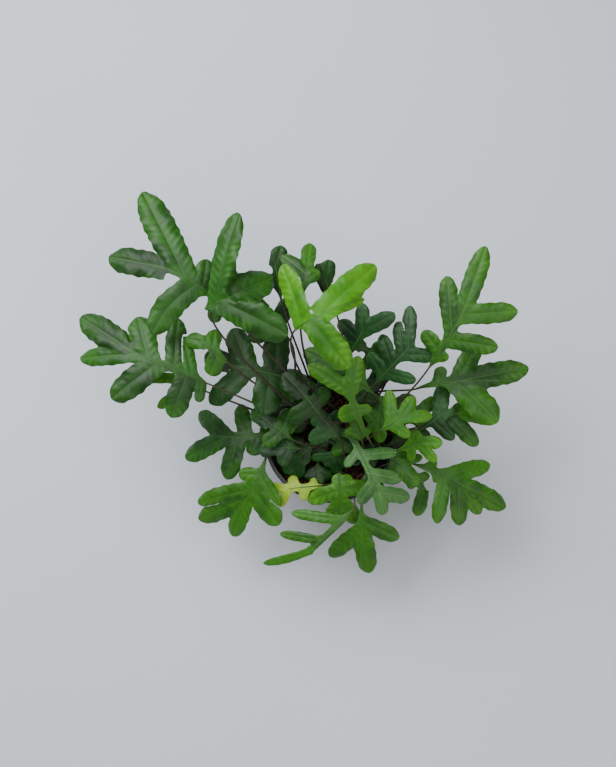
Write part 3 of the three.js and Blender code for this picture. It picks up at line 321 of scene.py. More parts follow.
    ("right_fill", "mid", (45, 10), (67, 10, 103), 40, 0, (25, 0), 20, (-5, 18, 13), [(10, 70, 17, 12)],
     [(10, 70, 16, 12)], (0.45, 0.35), 0.18),
    ("front_deep", "deep", (-12, -20), (-11, -23, 92), -90, 0, (15, -5), 16, (0, 14, 13),
     [(8, 70, 14, 12)], [(8, 70, 14, 12)], None, 0.18),
)]


def spread(seed):
    value = math.sin(seed * 12.9898 + 4.137) * 43758.5453
    return value - math.floor(value)


def unit(vector):
    return vector / np.linalg.norm(vector)


# The rib's place and frame in space, s from the blade's start, and the same laid flat
def ribFrame(frond, s):
    point, flat, flatTurn = np.array(frond["base"], float), np.zeros(2), 0.0
    steps = 12
    for i in range(steps + 1):
        share = s / frond["length"] * (i + 0.5) / steps if i < steps else s / frond["length"]
        heading = math.radians(frond["heading"] + frond["turn"] * share)
        pitch = math.radians(frond["pitch"][0] + (frond["pitch"][1] - frond["pitch"][0]) * share)
        along = np.array([math.cos(pitch) * math.cos(heading),
                          math.cos(pitch) * math.sin(heading), math.sin(pitch)])
        if i < steps:
            point = point + along * s / steps
            step = math.radians(frond["turn"]) * s / frond["length"] / steps * math.cos(pitch)
            middle = flatTurn + step / 2
            flat = flat + np.array([math.cos(middle), math.sin(middle)]) * s / steps
            flatTurn += step
    side = unit(np.array([-along[1], along[0], 0]))
    forward = np.array([math.cos(flatTurn), math.sin(flatTurn)])
    return {"point": point, "along": along, "side": side, "up": np.cross(along, side), "flat": flat,
            "forward": forward, "left": np.array([-forward[1], forward[0]])}


def makeLobe(frond, values, hand, seed):
    at, angle, length, width = values[:4]
    bend = values[4] if len(values) > 4 else 0
    return {"at": at, "hand": hand, "side": hand or 1, "frame": ribFrame(frond, at),
            "angle": math.radians(angle), "length": length, "width": width, "bend": math.radians(bend),
            "droop": frond["droop"] * np.interp(spread(seed), (0, 1), blade["droopRange"]),
            "phase": spread(seed + 0.5) * 2 * math.pi, "shade": spread(seed + 0.25)}


def smooth(value, low, high):
    share = np.clip((value - low) / (high - low), 0, 1)
    return share * share * (3 - 2 * share)


def halfWidth(lobe, u):
    share = np.clip(u / lobe["length"], 0, 1)
    fall = np.clip((share - blade["widestFrom"]) / (1 - blade["widestFrom"]), 0, 1)
    swell = blade["baseShare"] + (1 - blade["baseShare"]) * smooth(share, 0, blade["widestFrom"])
    return 0.5 * lobe["width"] * swell * (1 - fall ** blade["taperPower"]) ** blade["taperRound"]


# How far a lobe lifts off its plane: it droops to its tip, cups, waves and puckers
def lobeLift(lobe, u, across):
    share = np.clip(u / lobe["length"], 0, 1.1)
    edge = np.minimum(across * across, 1.5)
    turn = 2 * math.pi * u / blade["waveLength"] + lobe["phase"] + across * blade["wavePhase"]
    out = np.abs(across)
    veins = 2 * math.pi * (u - blade["veinSlant"] * out * lobe["width"] / 2) / blade["sideVeins"]
    return (-lobe["droop"] * lobe["length"] * share ** 2
            - blade["cup"] * halfWidth(lobe, u) * edge * share
            + blade["wave"] * lobe["width"] * edge * np.minimum(1, 2 * share) * np.sin(turn)
            + blade["quilt"] * lobe["width"] * np.sin(math.pi * np.minimum(out, 1)) * smooth(share, 0, 0.3)
            + blade["pucker"] * np.cos(veins) * smooth(out, *blade["puckerRun"])
            * (1 - smooth(out, blade["puckerEdge"], 1)) * smooth(share, 0.02, 0.2))


# A lobe's own coordinates of flat points: along its vein, across it, and past its outline
def readLobe(lobe, points):
    frame, hand = lobe["frame"], lobe["side"]
    offset = points - frame["flat"]
    local = np.stack([offset @ frame["forward"], offset @ frame["left"] * hand], 1)
    steps = np.linspace(0, lobe["length"], 25)
    middle = lobe["angle"] + lobe["bend"] * steps / lobe["length"] / 2
    turned = lobe["angle"] + lobe["bend"] * steps / lobe["length"]
    vein = np.stack([steps * np.cos(middle), steps * np.sin(middle)], 1)
    nearest = np.argmin(((local[:, None, :] - vein[None]) ** 2).sum(2), 1)
    gap = local - vein[nearest]
    cosine, sine = np.cos(turned[nearest]), np.sin(turned[nearest])
    u = steps[nearest] + gap[:, 0] * cosine + gap[:, 1] * sine
    v = -gap[:, 0] * sine + gap[:, 1] * cosine
    half = halfWidth(lobe, u)
    swing = 2 * math.pi * u / blade["rippleLength"] + lobe["phase"] + (v > 0) * blade["ripplePhase"]
    ripple = 1 + blade["ripple"] * np.sin(swing)
    past = np.abs(v) - half * ripple
    beyond = np.hypot(np.maximum(u - lobe["length"], 0), v)
    past = np.where(u > lobe["length"], np.maximum(beyond, past), past)
    if lobe["hand"]:
        past = np.maximum(past, -local[:, 1])
    past = np.maximum(past, -u - (half if lobe["hand"] else 0.5))
    across = v / np.maximum(half, blade["thinnest"] * lobe["width"] / 2)
    place = (frame["point"] + local[:, :1] * frame["along"] + local[:, 1:] * hand * frame["side"])
    place[:, 2] += lobeLift(lobe, u, across)
    return {"u": u, "v": v, "past": past, "place": place}


def blend(first, second, reach):
    share = np.maximum(reach - np.abs(first - second), 0) / reach
    return np.minimum(first, second) - share * share * reach / 4


# Points on a lobe's vein, laid flat
def flatVein(lobe, u):
    angle = lobe["angle"] + lobe["bend"] * u / lobe["length"] / 2
    return (lobe["frame"]["flat"] + np.outer(u * np.cos(angle), lobe["frame"]["forward"])
            + np.outer(u * np.sin(angle), lobe["frame"]["left"]) * lobe["side"])


# Where two neighbouring lobes part, out along each vein
def findSinus(lobe, other):
    sinus = blade["sinus"]
    theirs = np.linspace(0, other["length"], 31)
    mine = np.arange(sinus["start"], sinus["reach"] * lobe["length"] + sinus["step"], sinus["step"])
    distances = np.linalg.norm(flatVein(lobe, mine)[:, None] - flatVein(other, theirs)[None], axis=2)
    near = distances.argmin(1)
    clear = distances.min(1) - halfWidth(lobe, mine) - halfWidth(other, theirs[near]) > sinus["gap"]
    first = np.argmax(clear) if clear.any() else len(mine) - 1
    return mine[first], theirs[near[first]]


# Everything known about flat points of a frond's blade
def readBlade(shape, points):
    lobes, rib, length = shape["lobes"], shape["rib"], shape["length"]
    centres = np.array([f["flat"] for f in rib])
    nearest = np.argmin(((points[:, None, :] - centres[None]) ** 2).sum(2), 1)
    pick = lambda key: np.array([f[key] for f in rib])[nearest]
    offset = points - centres[nearest]
    ahead, out = (offset * pick("forward")).sum(1), (offset * pick("left")).sum(1)
    s = np.array(shape["stations"])[nearest] + ahead
    winged = smooth(s, 0, max(shape["firstLobe"], blade["wingRun"]))
    wing = blade["neck"] + (blade["wing"] - blade["neck"]) * winged
    ribPast = np.maximum(np.abs(out) - wing, np.maximum(-s, s - length))
    ribPlace = pick("point") + ahead[:, None] * pick("along") + out[:, None] * pick("side")
    reads = [readLobe(lobe, points) for lobe in lobes]
    pasts = np.array([r["past"] for r in reads])
    trimmed = pasts.copy()
    for i, j, mine in shape["pairs"]:
        held = blade["seamHold"] * (1 - smooth(reads[i]["u"], mine, mine + blade["seamEase"]))
        trimmed[i] = np.maximum(trimmed[i], (pasts[i] - pasts[j]) / 2 + blade["seam"] - held)
    reach = blade["web"] + (blade["webEnd"] - blade["web"]) * smooth(np.abs(out), *blade["webRun"])
    past = ribPast
    for row in trimmed:
        past = blend(past, row, reach)
    everyPast = np.vstack([trimmed, ribPast - blade["ribYield"]])
    weights = np.exp(-(everyPast - everyPast.min(0)) / blade["softness"])
    weights /= weights.sum(0)
    places = np.array([r["place"] for r in reads] + [ribPlace])
    place = (weights[:, :, None] * places).sum(0)
    owner = np.argmax(weights[:-1], 0)
    take = lambda key: np.array([r[key] for r in reads])[owner, np.arange(len(points))]
    lengths = np.array([lobe["length"] for lobe in lobes])[owner]
    return {"past": past, "place": place, "u": take("u"), "v": take("v"), "rib": np.abs(out),
            "along": np.clip(take("u") / lengths, 0, 1),
            "shade": np.array([lobe["shade"] for lobe in lobes])[owner]}


# A flat triangle mesh of the inside of an outline, its edge snapped to the outline
def fillOutline(measure, low, high, step):
    rise = step * math.sqrt(3) / 2
    columns, rows = int((high[0] - low[0]) / step) + 2, int((high[1] - low[1]) / rise) + 2
    column, row = np.meshgrid(np.arange(columns), np.arange(rows))
    grid = np.stack([low[0] + (column + 0.5 * (row % 2)) * step, low[1] + row * rise], 2).reshape(-1, 2)
    past, snap = measure(grid), blade["snap"]
    close = np.abs(past) < snap["near"] * step
    rough, tiny = past[close], snap["probe"]
    slope = np.stack([measure(grid[close] + (tiny, 0)) - rough,
                      measure(grid[close] + (0, tiny)) - rough], 1) / tiny
    steep = np.maximum((slope ** 2).sum(1), snap["flattest"])
    move = -rough[:, None] * slope / steep[:, None]
    fits = np.hypot(*move.T) < snap["furthest"] * step
    index = np.flatnonzero(close)[fits]
    grid[index] += move[fits]
    past[index] = 0
    base = (row[:-1, :-1] * columns + column[:-1, :-1]).ravel()
    odd = (row[:-1, :-1] % 2).ravel() == 1
    right, up, both = base + 1, base + columns, base + columns + 1
    faces = np.concatenate([
        np.stack([base, right, np.where(odd, both, up)], 1),
        np.stack([np.where(odd, base, right), both, up], 1)])
    state = past[faces]
    inside = (state <= 0).all(1) & ((state < 0).any(1) | (measure(grid[faces].mean(1)) < 0))
    kept = [faces[inside]]
    extra, known = [], {}

    def cut(a, b):
        key = (min(a, b), max(a, b))
        if key not in known:
            share = past[a] / (past[a] - past[b])
            known[key] = len(grid) + len(extra)
            extra.append(grid[a] + (grid[b] - grid[a]) * share)
        return known[key]

    split = []
    for face in faces[(state < 0).any(1) & (state > 0).any(1)]:
        ring = []
        for a, b in zip(face, np.roll(face, -1)):
            if past[a] <= 0:
                ring.append(a)
            if (past[a] < 0 < past[b]) or (past[b] < 0 < past[a]):
                ring.append(cut(a, b))
        split += [(ring[0], ring[i], ring[i + 1]) for i in range(1, len(ring) - 1)]
    if split:
        kept.append(np.array(split))
    points = np.vstack([grid, np.array(extra).reshape(-1, 2)])
    faces = np.vstack(kept)
    label = np.arange(len(points))
    while True:
        lowest = label[faces].min(1)
        fresh = label.copy()
        for k in range(3):
            np.minimum.at(fresh, faces[:, k], lowest)
        if (fresh == label).all():
            break
        label = fresh[fresh]
    names, counts = np.unique(label[faces[:, 0]], return_counts=True)
    faces = faces[label[faces[:, 0]] == names[counts.argmax()]]
    used, compact = np.unique(faces, return_inverse=True)
    return points[used], compact.reshape(-1, 3)


def frondShape(frond, seed):
    left = [makeLobe(frond, v, 1, seed + (i + 1) * 0.1) for i, v in enumerate(frond["left"])]
    right = [makeLobe(frond, v, -1, seed - (i + 1) * 0.1) for i, v in enumerate(frond["right"])]
    tip = makeLobe(frond, (frond["length"],) + frond["tip"], 0, seed)
    lobes = left + right + [tip]
    pairs = []
    for side, start in ((left, 0), (right, len(left))):
        for i, lobe in enumerate(side):
            mine, j = start + i, start + i + 1 if i + 1 < len(side) else len(lobes) - 1
            outMine, outOther = findSinus(lobe, lobes[j])
            pairs += [(mine, j, outMine), (j, mine, outOther)]
    stations = np.linspace(0, frond["length"], 24).tolist()
    return {"frond": frond, "lobes": lobes, "pairs": pairs, "length": frond["length"],
            "stations": stations, "rib": [ribFrame(frond, s) for s in stations],
            "firstLobe": min(lobe["at"] for lobe in lobes)}


# The blade: the flat outline filled, bent into space and thickened, thin at its margin
def bladeMesh(shape):
    reach = [lobe["frame"]["flat"] for lobe in shape["lobes"]]
    span = max(lobe["length"] for lobe in shape["lobes"]) + 4
    low, high = np.min(reach, 0) - span, np.max(reach, 0) + span
    measure = lambda points: readBlade(shape, points)["past"]
    flat, faces = fillOutline(measure, low, high, blade["grid"])
    read = readBlade(shape, flat)
    place = read["place"]
    corners = place[faces]
    faceNormals = np.cross(corners[:, 1] - corners[:, 0], corners[:, 2] - corners[:, 0])
    normals = np.zeros_like(place)
    for k in range(3):
        np.add.at(normals, faces[:, k], faceNormals)
    normals /= np.maximum(np.linalg.norm(normals, axis=1), 1e-9)[:, None]
    inward = smooth(-read["past"], 0, blade["marginRun"])
    half = blade["marginHalf"] + (blade["half"] - blade["marginHalf"]) * inward
    count = len(place)
    points = np.vstack([place + normals * half[:, None], place - normals * half[:, None]])
    edges = np.concatenate([faces[:, [0, 1]], faces[:, [1, 2]], faces[:, [2, 0]]])
    key = edges[:, 0] * count + edges[:, 1]
    back = edges[:, 1] * count + edges[:, 0]
    rim = edges[~np.isin(key, back)]
    sides = np.concatenate([np.stack([rim[:, 0] + count, rim[:, 1] + count, rim[:, 1]], 1),
                            np.stack([rim[:, 0] + count, rim[:, 1], rim[:, 0]], 1)])
    faces = np.vstack([faces, faces[:, ::-1] + count, sides])
    values = {
        "fromVein": np.tile(np.minimum(np.abs(read["v"]), read["rib"]), 2),
        "alongLobe": np.tile(read["along"], 2),
        "fromEdge": np.tile(np.maximum(-read["past"], 0), 2),
        "lobeShade": np.tile(read["shade"], 2),
        "underside": np.repeat([0.0, 1.0], count),
    }
    return points, faces, np.tile(np.stack([read["u"], read["v"]], 1), (2, 1)), values


# The stalk, the rib that it runs on into, and the vein of each lobe, as lines with a radius
def stalkLines(shape):
    frond = shape["frond"]
    neck = ribFrame(frond, 0)
    foot = np.array(frond["foot"] + (stalk["soilTop"] + stalk["collar"],), float)
    distance = np.linalg.norm(neck["point"] - foot)
    rise, approach = frond["sweep"]
    pulls = [foot, foot + (0, 0, distance * rise),
             neck["point"] - neck["along"] * distance * approach, neck["point"]]
    line, radii, age = [foot - (0, 0, stalk["footDepth"])], [stalk["footRadius"]], [0.0]
    for t in np.linspace(0, 1, stalk["bends"])[:-1]:
        weights = ((1 - t) ** 3, 3 * t * (1 - t) ** 2, 3 * t * t * (1 - t), t ** 3)
        line.append(sum(w * p for w, p in zip(weights, pulls)))
        radii.append(stalk["footRadius"] + (stalk["neckRadius"] - stalk["footRadius"]) * t)
        age.append(t)
    for s in np.linspace(0, frond["length"], stalk["ribSteps"]):
        line.append(ribFrame(frond, s)["point"])
        share = s / frond["length"]
        radii.append(stalk["neckRadius"] + (stalk["ribEndRadius"] - stalk["neckRadius"]) * share ** 0.8)
        age.append(1 + share)
    lines = [(line, radii, age)]
    for lobe in shape["lobes"]:
        start, along, count = 1 + lobe["at"] / frond["length"], [], stalk["veinSteps"]
        for u in np.linspace(0, lobe["length"] * stalk["veinReach"], count):
            middle = lobe["angle"] + lobe["bend"] * u / lobe["length"] / 2
            point = (lobe["frame"]["point"] + u * math.cos(middle) * lobe["frame"]["along"]
                     + u * math.sin(middle) * lobe["side"] * lobe["frame"]["side"])
            point[2] += float(lobeLift(lobe, np.array([u]), np.zeros(1))[0]) + stalk["veinLift"]
            along.append(point)
        thin = np.linspace(1, 0, count)
        first = min(stalk["veinRadius"], 0.03 * lobe["width"] + 0.12)
        lines.append((along, stalk["veinEndRadius"] + (first - stalk["veinEndRadius"]) * thin,
                      np.full(count, max(start, stalk["veinAge"]))))
    return lines


def nodeTree(name, inputs, output):
    tree = bpy.data.node_groups.new(name, "GeometryNodeTree")
    for label, kind in inputs:
        tree.interface.new_socket(label, in_out="INPUT", socket_type="NodeSocket" + kind)
    tree.interface.new_socket(output, in_out="OUTPUT", socket_type="NodeSocketGeometry")
    return tree, tree.nodes.new("NodeGroupInput"), tree.nodes.new("NodeGroupOutput")


# Each node's first output goes into the next one's first input
def chain(tree, *nodes):
    for first, second in zip(nodes, nodes[1:]):
        tree.links.new(first.outputs[0], second.inputs[0])


def joinAll(tree, joins):
    for source, output, target, socket in joins:
        tree.links.new(source.outputs[output], target.inputs[socket])


# A node tree that turns lines with a thickness into round stalks
def stalkTree():
    tree, start, end = nodeTree("wiryStalks", (("Lines", "Geometry"), ("Sides", "Int"),
                                ("Thickness", "Float"), ("Finish", "Material")), "Stalks")
    add = tree.nodes.new
    curve = add("GeometryNodeMeshToCurve")
    named = add("GeometryNodeInputNamedAttribute")
    scale = add("ShaderNodeMath")
    ring = add("GeometryNodeCurvePrimitiveCircle")
    sweep = add("GeometryNodeCurveToMesh")
    shade = add("GeometryNodeSetShadeSmooth")
    real = add("GeometryNodeRealizeInstances")
    paint = add("GeometryNodeSetMaterial")
    named.data_type = "FLOAT"
    named.inputs["Name"].default_value = "thickness"
    scale.operation = "MULTIPLY"
    ring.inputs["Radius"].default_value = 1
    sweep.inputs["Fill Caps"].default_value = True
    chain(tree, start, curve, sweep, shade, real, paint, end)
    joinAll(tree, (
        (named, "Attribute", scale, 0), (start, "Thickness", scale, 1), (scale, 0, sweep, "Scale"),
        (start, "Sides", ring, "Resolution"), (ring, "Curve", sweep, "Profile Curve"),
        (start, "Finish", paint, "Material")))
    return tree


# Puts a node tree on a piece, sets its inputs and applies it
def applyTree(piece, tree, values, name):
    modifier = piece.modifiers.new(tree.name, "NODES")
    modifier.node_group = tree
    for item in tree.interface.items_tree:
        if item.item_type == "SOCKET" and item.in_out == "INPUT" and item.name in values:
            modifier[item.identifier] = values[item.name]
    return settle(piece, name)


def growStalks(name, lines, tree, finish):
    points, edges, radii, ages = [], [], [], []
    for line, thick, age in lines:
        edges += [(len(points) + i, len(points) + i + 1) for i in range(len(line) - 1)]
        points += [np.asarray(p) * mm for p in line]
        radii += [r * mm for r in thick]
        ages += list(age)
    data = bpy.data.meshes.new(name)
    data.from_pydata([tuple(p) for p in points], edges, [])
    storeValues(data, "thickness", radii)
    storeValues(data, "stalkAge", ages)
    return applyTree(placeObject(name, data), tree, {
        "Sides": stalk["sides"], "Thickness": 1.0, "Finish": finish}, name)


def joinInto(first, others, name):
    with bpy.context.temp_override(active_object=first, selected_editable_objects=[first] + others):
        bpy.ops.object.join()
    first.name = first.data.name = name
    return first


# Leaf greens: the blade, its shaded copy painted in patches as shade, a lighter green for the painted sheen
# panels, the tips, the margin and the underside, and its veins
leafTones = {
    "dark": ("1d5207", "0b2e04", "3f7c20", "3a7022"),
    # deep: a darker, shaded copy of the green, painted shade for fronds set deep among the others
    "deep": ("103c04", "061c03", "225614", "27561b"),
    "mid": ("296008", "113a04", "508c1f", "487e22"),
    "bright": ("3f8207", "235a04", "70a824", "285f0a"),
    "yellow": ("8fae28", "628818", "b4c850", "a9bc4c"),
    "blue": ("1a4818", "0a290c", "356a30", "356432"),
    "pale": ("3a6a2c", "21491c", "648f54", "6c9458"),
}
# Older fronds of a light tone have darkened towards the plain green
leafAges = {
    "middle_bright": 0.85, "right_centre_bright": 0.55, "right_lower_small": 0.5, "lower_centre": 0.8,
    "left_under_yellow": 0.4, "young_yellow": 0.15,
}
oldLeaf = {"blade": "2b620a", "spread": 0.16}
# How much of a lighter tone each mark takes, the panels being painted sheen, and how far apart the small
# veins are
leafMarks = {"paintedSheen": 0.24, "tip": 0.2, "rung": 0.06, "vein": 0.4, "edge": 0.25, "under": 0.4, "gap": 3.25}


def leafPaint(tone):
    blades, shaded, light, veins = [colour(code) for code in leafTones[tone]]
    paint = Paint("leaf_" + tone, IOR=1.37)
    where = paint.place()
    along, age = paint.attribute("alongLobe"), paint.attribute("leafAge")
    edge, vein = paint.attribute("fromEdge"), paint.attribute("fromVein")
    shade, under = paint.attribute("lobeShade"), paint.attribute("underside")
    uv = paint.node("ShaderNodeUVMap", {"uv_map": "leafMap"})
    alongWire = paint.node("ShaderNodeSeparateXYZ", {}, {0: uv})
    acrossWire = paint.node("ShaderNodeSeparateXYZ", {}, {0: uv}, output=1)
    mottleAndShade = paint.noise(where, 110, 3)
    broad = paint.noise(where, 38, 2)
    slant = paint.node("ShaderNodeMath", {"operation": "ABSOLUTE"}, {0: acrossWire})
    ladder = (alongWire - slant * 0.6) * 1000 + paint.noise(uv, 90, 2) * 3
    rung = paint.node("ShaderNodeMath", {"operation": "PINGPONG"}, {0: ladder, 1: leafMarks["gap"]})
    rungLine = 1 - paint.band(rung, 0.05, 0.6)
    # painted sheen: lighter bands between the side veins, in broad patches away from the midrib
    paintedSheen = paint.band(rung, 0.8, 2.8) * paint.band(broad, 0.42, 0.6) * paint.band(vein, 0.6, 2.5)
    # painted shade: noise patches and each lobe's random tone mix the blade towards its shaded copy; the same
    # noise also varies roughness and bumps
    base = paint.mix(paint.band(mottleAndShade * 0.5 + broad * 0.6 + shade * 0.35, 0.45, 0.95), shaded, blades)
    base = paint.mix(age, base, colour(oldLeaf["blade"]))
    tipward = paint.band(along, 0.4, 1.0) * leafMarks["tip"]
    # the painted sheen panels and a lighter tip mix the blade towards the lighter green
    base = paint.mix(paintedSheen * leafMarks["paintedSheen"] + tipward, base, light)
    base = paint.mix(rungLine * leafMarks["rung"], base, veins)
    base = paint.mix((1 - paint.band(vein, 0.15, 0.7)) * leafMarks["vein"], base, veins)
    base = paint.mix((1 - paint.band(edge, 0.1, 0.6)) * leafMarks["edge"], base, light)
    base = paint.mix(under * leafMarks["under"], base, light)
    return paint.finish(base, 0.36 + mottleAndShade * 0.2 + under * 0.15,
                        rungLine * -0.35 + mottleAndShade * 0.6, 0.0003, 0.5)


def stalkPaint():
    paint = Paint("wiryStalk", IOR=1.45)
    age = paint.attribute("stalkAge")
    streak = paint.noise(paint.place(), 400, 2)
    tint = paint.ramp(age * 0.5, [(0.0, "1d120a"), (0.25, "33240f"), (0.47, "3a3c16"),
                                  (0.62, "33581c"), (1.0, "3c6a24")])
    return paint.finish(paint.mix(streak * 0.35, tint, colour("2c1e10"), "MULTIPLY"),
                        0.4 + streak * 0.25, streak, 0.0002, 0.5)


leafPaints = {tone: leafPaint(tone) for tone in leafTones}
stalkFinish = stalkPaint()
wiryStalks = stalkTree()
for number, frond in enumerate(fronds):
    shape = frondShape(frond, number + 1)
    points, faces, leafMap, values = bladeMesh(shape)
    name = "frond_" + frond["name"]
    piece = addMesh(name + "_blade", points * mm, faces, [leafPaints[frond["tone"]]])
    layer = piece.data.uv_layers.new(name="leafMap")
    loops = np.zeros(len(piece.data.loops), np.int32)
    piece.data.loops.foreach_get("vertex_index", loops)
    layer.data.foreach_set("uv", (leafMap[loops] / 1000).astype(np.float32).ravel())
    drift = (spread(number + 5.5) - 0.5) * oldLeaf["spread"]
    values["leafAge"] = np.full(len(points), max(0.0, leafAges.get(frond["name"], 0.0) + drift))
    for key, numbers in values.items():
        storeValues(piece.data, key, numbers)
    stems = growStalks(name + "_stalk", stalkLines(shape), wiryStalks, stalkFinish)
    piece = joinInto(piece, [stems], name + "_leaf")
    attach(piece, "root")
    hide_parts(name)
    print("frond", number + 1, frond["name"], len(piece.data.polygons))


# The nursery pot: a thin turned shell with a rolled rim and drain holes
pot = {
    "height": 95.0, "rimRadius": 60.0, "rimDepth": 9.0, "rimLip": 2.4, "baseRadius": 43.0,
    "wall": 1.4, "floor": 1.8, "facets": 144, "holes": 6, "holeRadius": 4.0, "holeCircle": 27.0,
    "holeSides": 32, "drill": 8.0, "round": 1.2,
}


def wallRadius(height):
    top = pot["rimRadius"] - pot["rimLip"]
    return pot["baseRadius"] + (top - pot["baseRadius"]) / pot["height"] * height


def roundCorner(profile, place, before, after, steps=4):
    place, before, after = map(np.array, (place, before, after))
    for t in np.linspace(0, 1, steps + 1):
        profile.append(tuple((1 - t) ** 2 * before + 2 * t * (1 - t) * place + t * t * after))


def turnedMesh(name, profile, facets, materials):
    rows = len(profile) - 2
    points = [(0, 0, profile[0][1])]
    for radius, height in profile[1:-1]:
        for k in range(facets):
            angle = 2 * math.pi * k / facets
            points.append((radius * math.cos(angle), radius * math.sin(angle), height))
    points.append((0, 0, profile[-1][1]))
    faces = [(0, 1 + (k + 1) % facets, 1 + k) for k in range(facets)]
    for r in range(rows - 1):
        for k in range(facets):
            a, b = 1 + r * facets + k, 1 + r * facets + (k + 1) % facets
            faces.append((a, b, b + facets, a + facets))
    last = len(points) - 1
    start = 1 + (rows - 1) * facets
    faces += [(start + k, start + (k + 1) % facets, last) for k in range(facets)]
    return addMesh(name, np.array(points) * mm, faces, materials)


def potPaint():
    paint = Paint("blackPotPlastic", IOR=1.46)
    where = paint.place()
    scuff = paint.noise(where, 700, 4, 0.6)
    dust = paint.band(paint.noise(where, 38, 4), 0.5, 0.75)
    return paint.finish(paint.mix(dust * 0.5, colour("141414"), colour("2a2622")),
                        0.34 + dust * 0.25 + scuff * 0.1, scuff, 0.0001, 0.5)


def makePot():
    under, top, wall = pot["height"] - pot["rimDepth"], pot["height"], pot["wall"]
    rim, soft = pot["rimRadius"], pot["round"]
    profile = [(0, 0.0)]
    roundCorner(profile, (wallRadius(0), 0), (wallRadius(0) - soft, 0), (wallRadius(soft), soft))
    for share in (0.25, 0.5, 0.75):
        profile.append((wallRadius(under * share), under * share))
    profile.append((wallRadius(under), under))
    roundCorner(profile, (rim - 0.6, under), (rim - 1.0, under), (rim - 0.55, under + 0.5))
    roundCorner(profile, (rim, top), (rim - 0.05, top - soft), (rim - soft, top))
    inner = wallRadius(top) - wall
    roundCorner(profile, (inner, top), (inner + 0.5, top), (inner - 0.1, top - 0.6))
    for share in (0.6, 0.3):
        profile.append((wallRadius(top * share) - wall, top * share))
    roundCorner(profile, (wallRadius(0) - wall, pot["floor"]), (wallRadius(3) - wall, 3.0),
                (wallRadius(0) - wall - soft, pot["floor"]))
    profile.append((0, pot["floor"]))
    finish = potPaint()
    shell = turnedMesh("potShell", profile, pot["facets"], [finish])
    cutters = []
    for i in range(pot["holes"]):
        angle = 2 * math.pi * i / pot["holes"]
        out = pot["holeCircle"] * mm
        bpy.ops.mesh.primitive_cylinder_add(
            vertices=pot["holeSides"], radius=pot["holeRadius"] * mm, depth=pot["drill"] * mm,
            location=(out * math.cos(angle), out * math.sin(angle), 0))
        cutters.append(bpy.context.object)
    cutter = joinInto(cutters[0], cutters[1:], "drainHoles")
    modifier = shell.modifiers.new("drain", "BOOLEAN")
    modifier.operation, modifier.object, modifier.solver = "DIFFERENCE", cutter, "EXACT"
    made = settle(shell, "nursery_pot_shell")
    bpy.data.objects.remove(cutter)
    made.data.set_sharp_from_angle(angle=math.radians(35))
    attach(made, "root")
    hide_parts("nursery_pot")


makePot()
print("pot made")

# Potting soil: a crumbly surface with bark chips scattered on it
soil = {
    "top": 85.0, "clearance": 0.4, "rings": 70, "around": 160, "sink": 1.6, "topBand": 2,
    "lumps": 1.5, "lumpHeight": 0.28, "lumpWave": 0.09, "lumpSpread": 0.05, "crumb": 0.25,
}
chips = {
    "density": 90000.0, "least": 0.5, "most": 1.9, "seed": 4, "spin": 6.28,
    "flattest": (0.9, 0.45, 0.25), "longest": (2.2, 1.0, 0.6),
    "groundRings": 12, "groundSides": 48, "sunk": 2.0, "under": 2.2,
}


def soilPaint():
    paint = Paint("darkPeat", IOR=1.4)
    where = paint.place()
    crumbs = paint.noise(where, 300, 6, 0.7)
    patches = paint.noise(where, 60, 3)
    tint = paint.ramp(crumbs * 0.75 + patches * 0.25, [
        (0.3, "0d0805"), (0.5, "22140b"), (0.66, "3f2715"), (0.8, "6b4220")])
    return paint.finish(tint, 0.85 + crumbs * 0.15, crumbs, 0.0012)


def chipPaint():
    paint = Paint("barkChips", IOR=1.45)
    grain = paint.noise(paint.place(), 500, 4, 0.6)
    tint = paint.ramp(paint.attribute("chipShade"), [
        (0.0, "140c07"), (0.45, "3a2212"), (0.72, "7a431b"), (1.0, "b0702f")])
    return paint.finish(paint.mix(grain * 0.6, tint, colour("3c2614"), "MULTIPLY"),
                        0.7 + grain * 0.25, grain, 0.0004, 0.7)


def chipTree():
    tree, start, end = nodeTree("barkScatter", (
        ("Ground", "Geometry"), ("Density", "Float"), ("Least", "Float"), ("Most", "Float"),
        ("Seed", "Int"), ("Finish", "Material")), "Chips")
    add = tree.nodes.new
    scatter = add("GeometryNodeDistributePointsOnFaces")
    lump = add("GeometryNodeMeshIcoSphere")
    lump.inputs["Radius"].default_value = 1
    lump.inputs["Subdivisions"].default_value = 1
    turn, size, flat, shade = [add("FunctionNodeRandomValue") for _ in range(4)]
    for node, low, high in ((turn, (0, 0, 0), [chips["spin"]] * 3),
                            (flat, chips["flattest"], chips["longest"])):
        node.data_type = "FLOAT_VECTOR"
        node.inputs[0].default_value, node.inputs[1].default_value = low, high
    for offset, node in enumerate((turn, size, flat, shade)):
        node.inputs["Seed"].default_value = 11 + offset
    lay = add("GeometryNodeInstanceOnPoints")
    scale = add("ShaderNodeVectorMath")
    store = add("GeometryNodeStoreNamedAttribute")
    real = add("GeometryNodeRealizeInstances")
    paint = add("GeometryNodeSetMaterial")
    scale.operation = "SCALE"
    store.domain, store.data_type = "INSTANCE", "FLOAT"
    store.inputs["Name"].default_value = "chipShade"
    chain(tree, start, scatter, lay, store, real, paint, end)
    joinAll(tree, (
        (start, "Density", scatter, "Density"), (start, "Seed", scatter, "Seed"),
        (lump, "Mesh", lay, "Instance"), (turn, 0, lay, "Rotation"),
        (start, "Least", size, 2), (start, "Most", size, 3), (flat, 0, scale, 0),
        (size, 1, scale, "Scale"), (scale, 0, lay, "Scale"), (shade, 1, store, "Value"),
        (start, "Finish", paint, "Material")))
    return tree


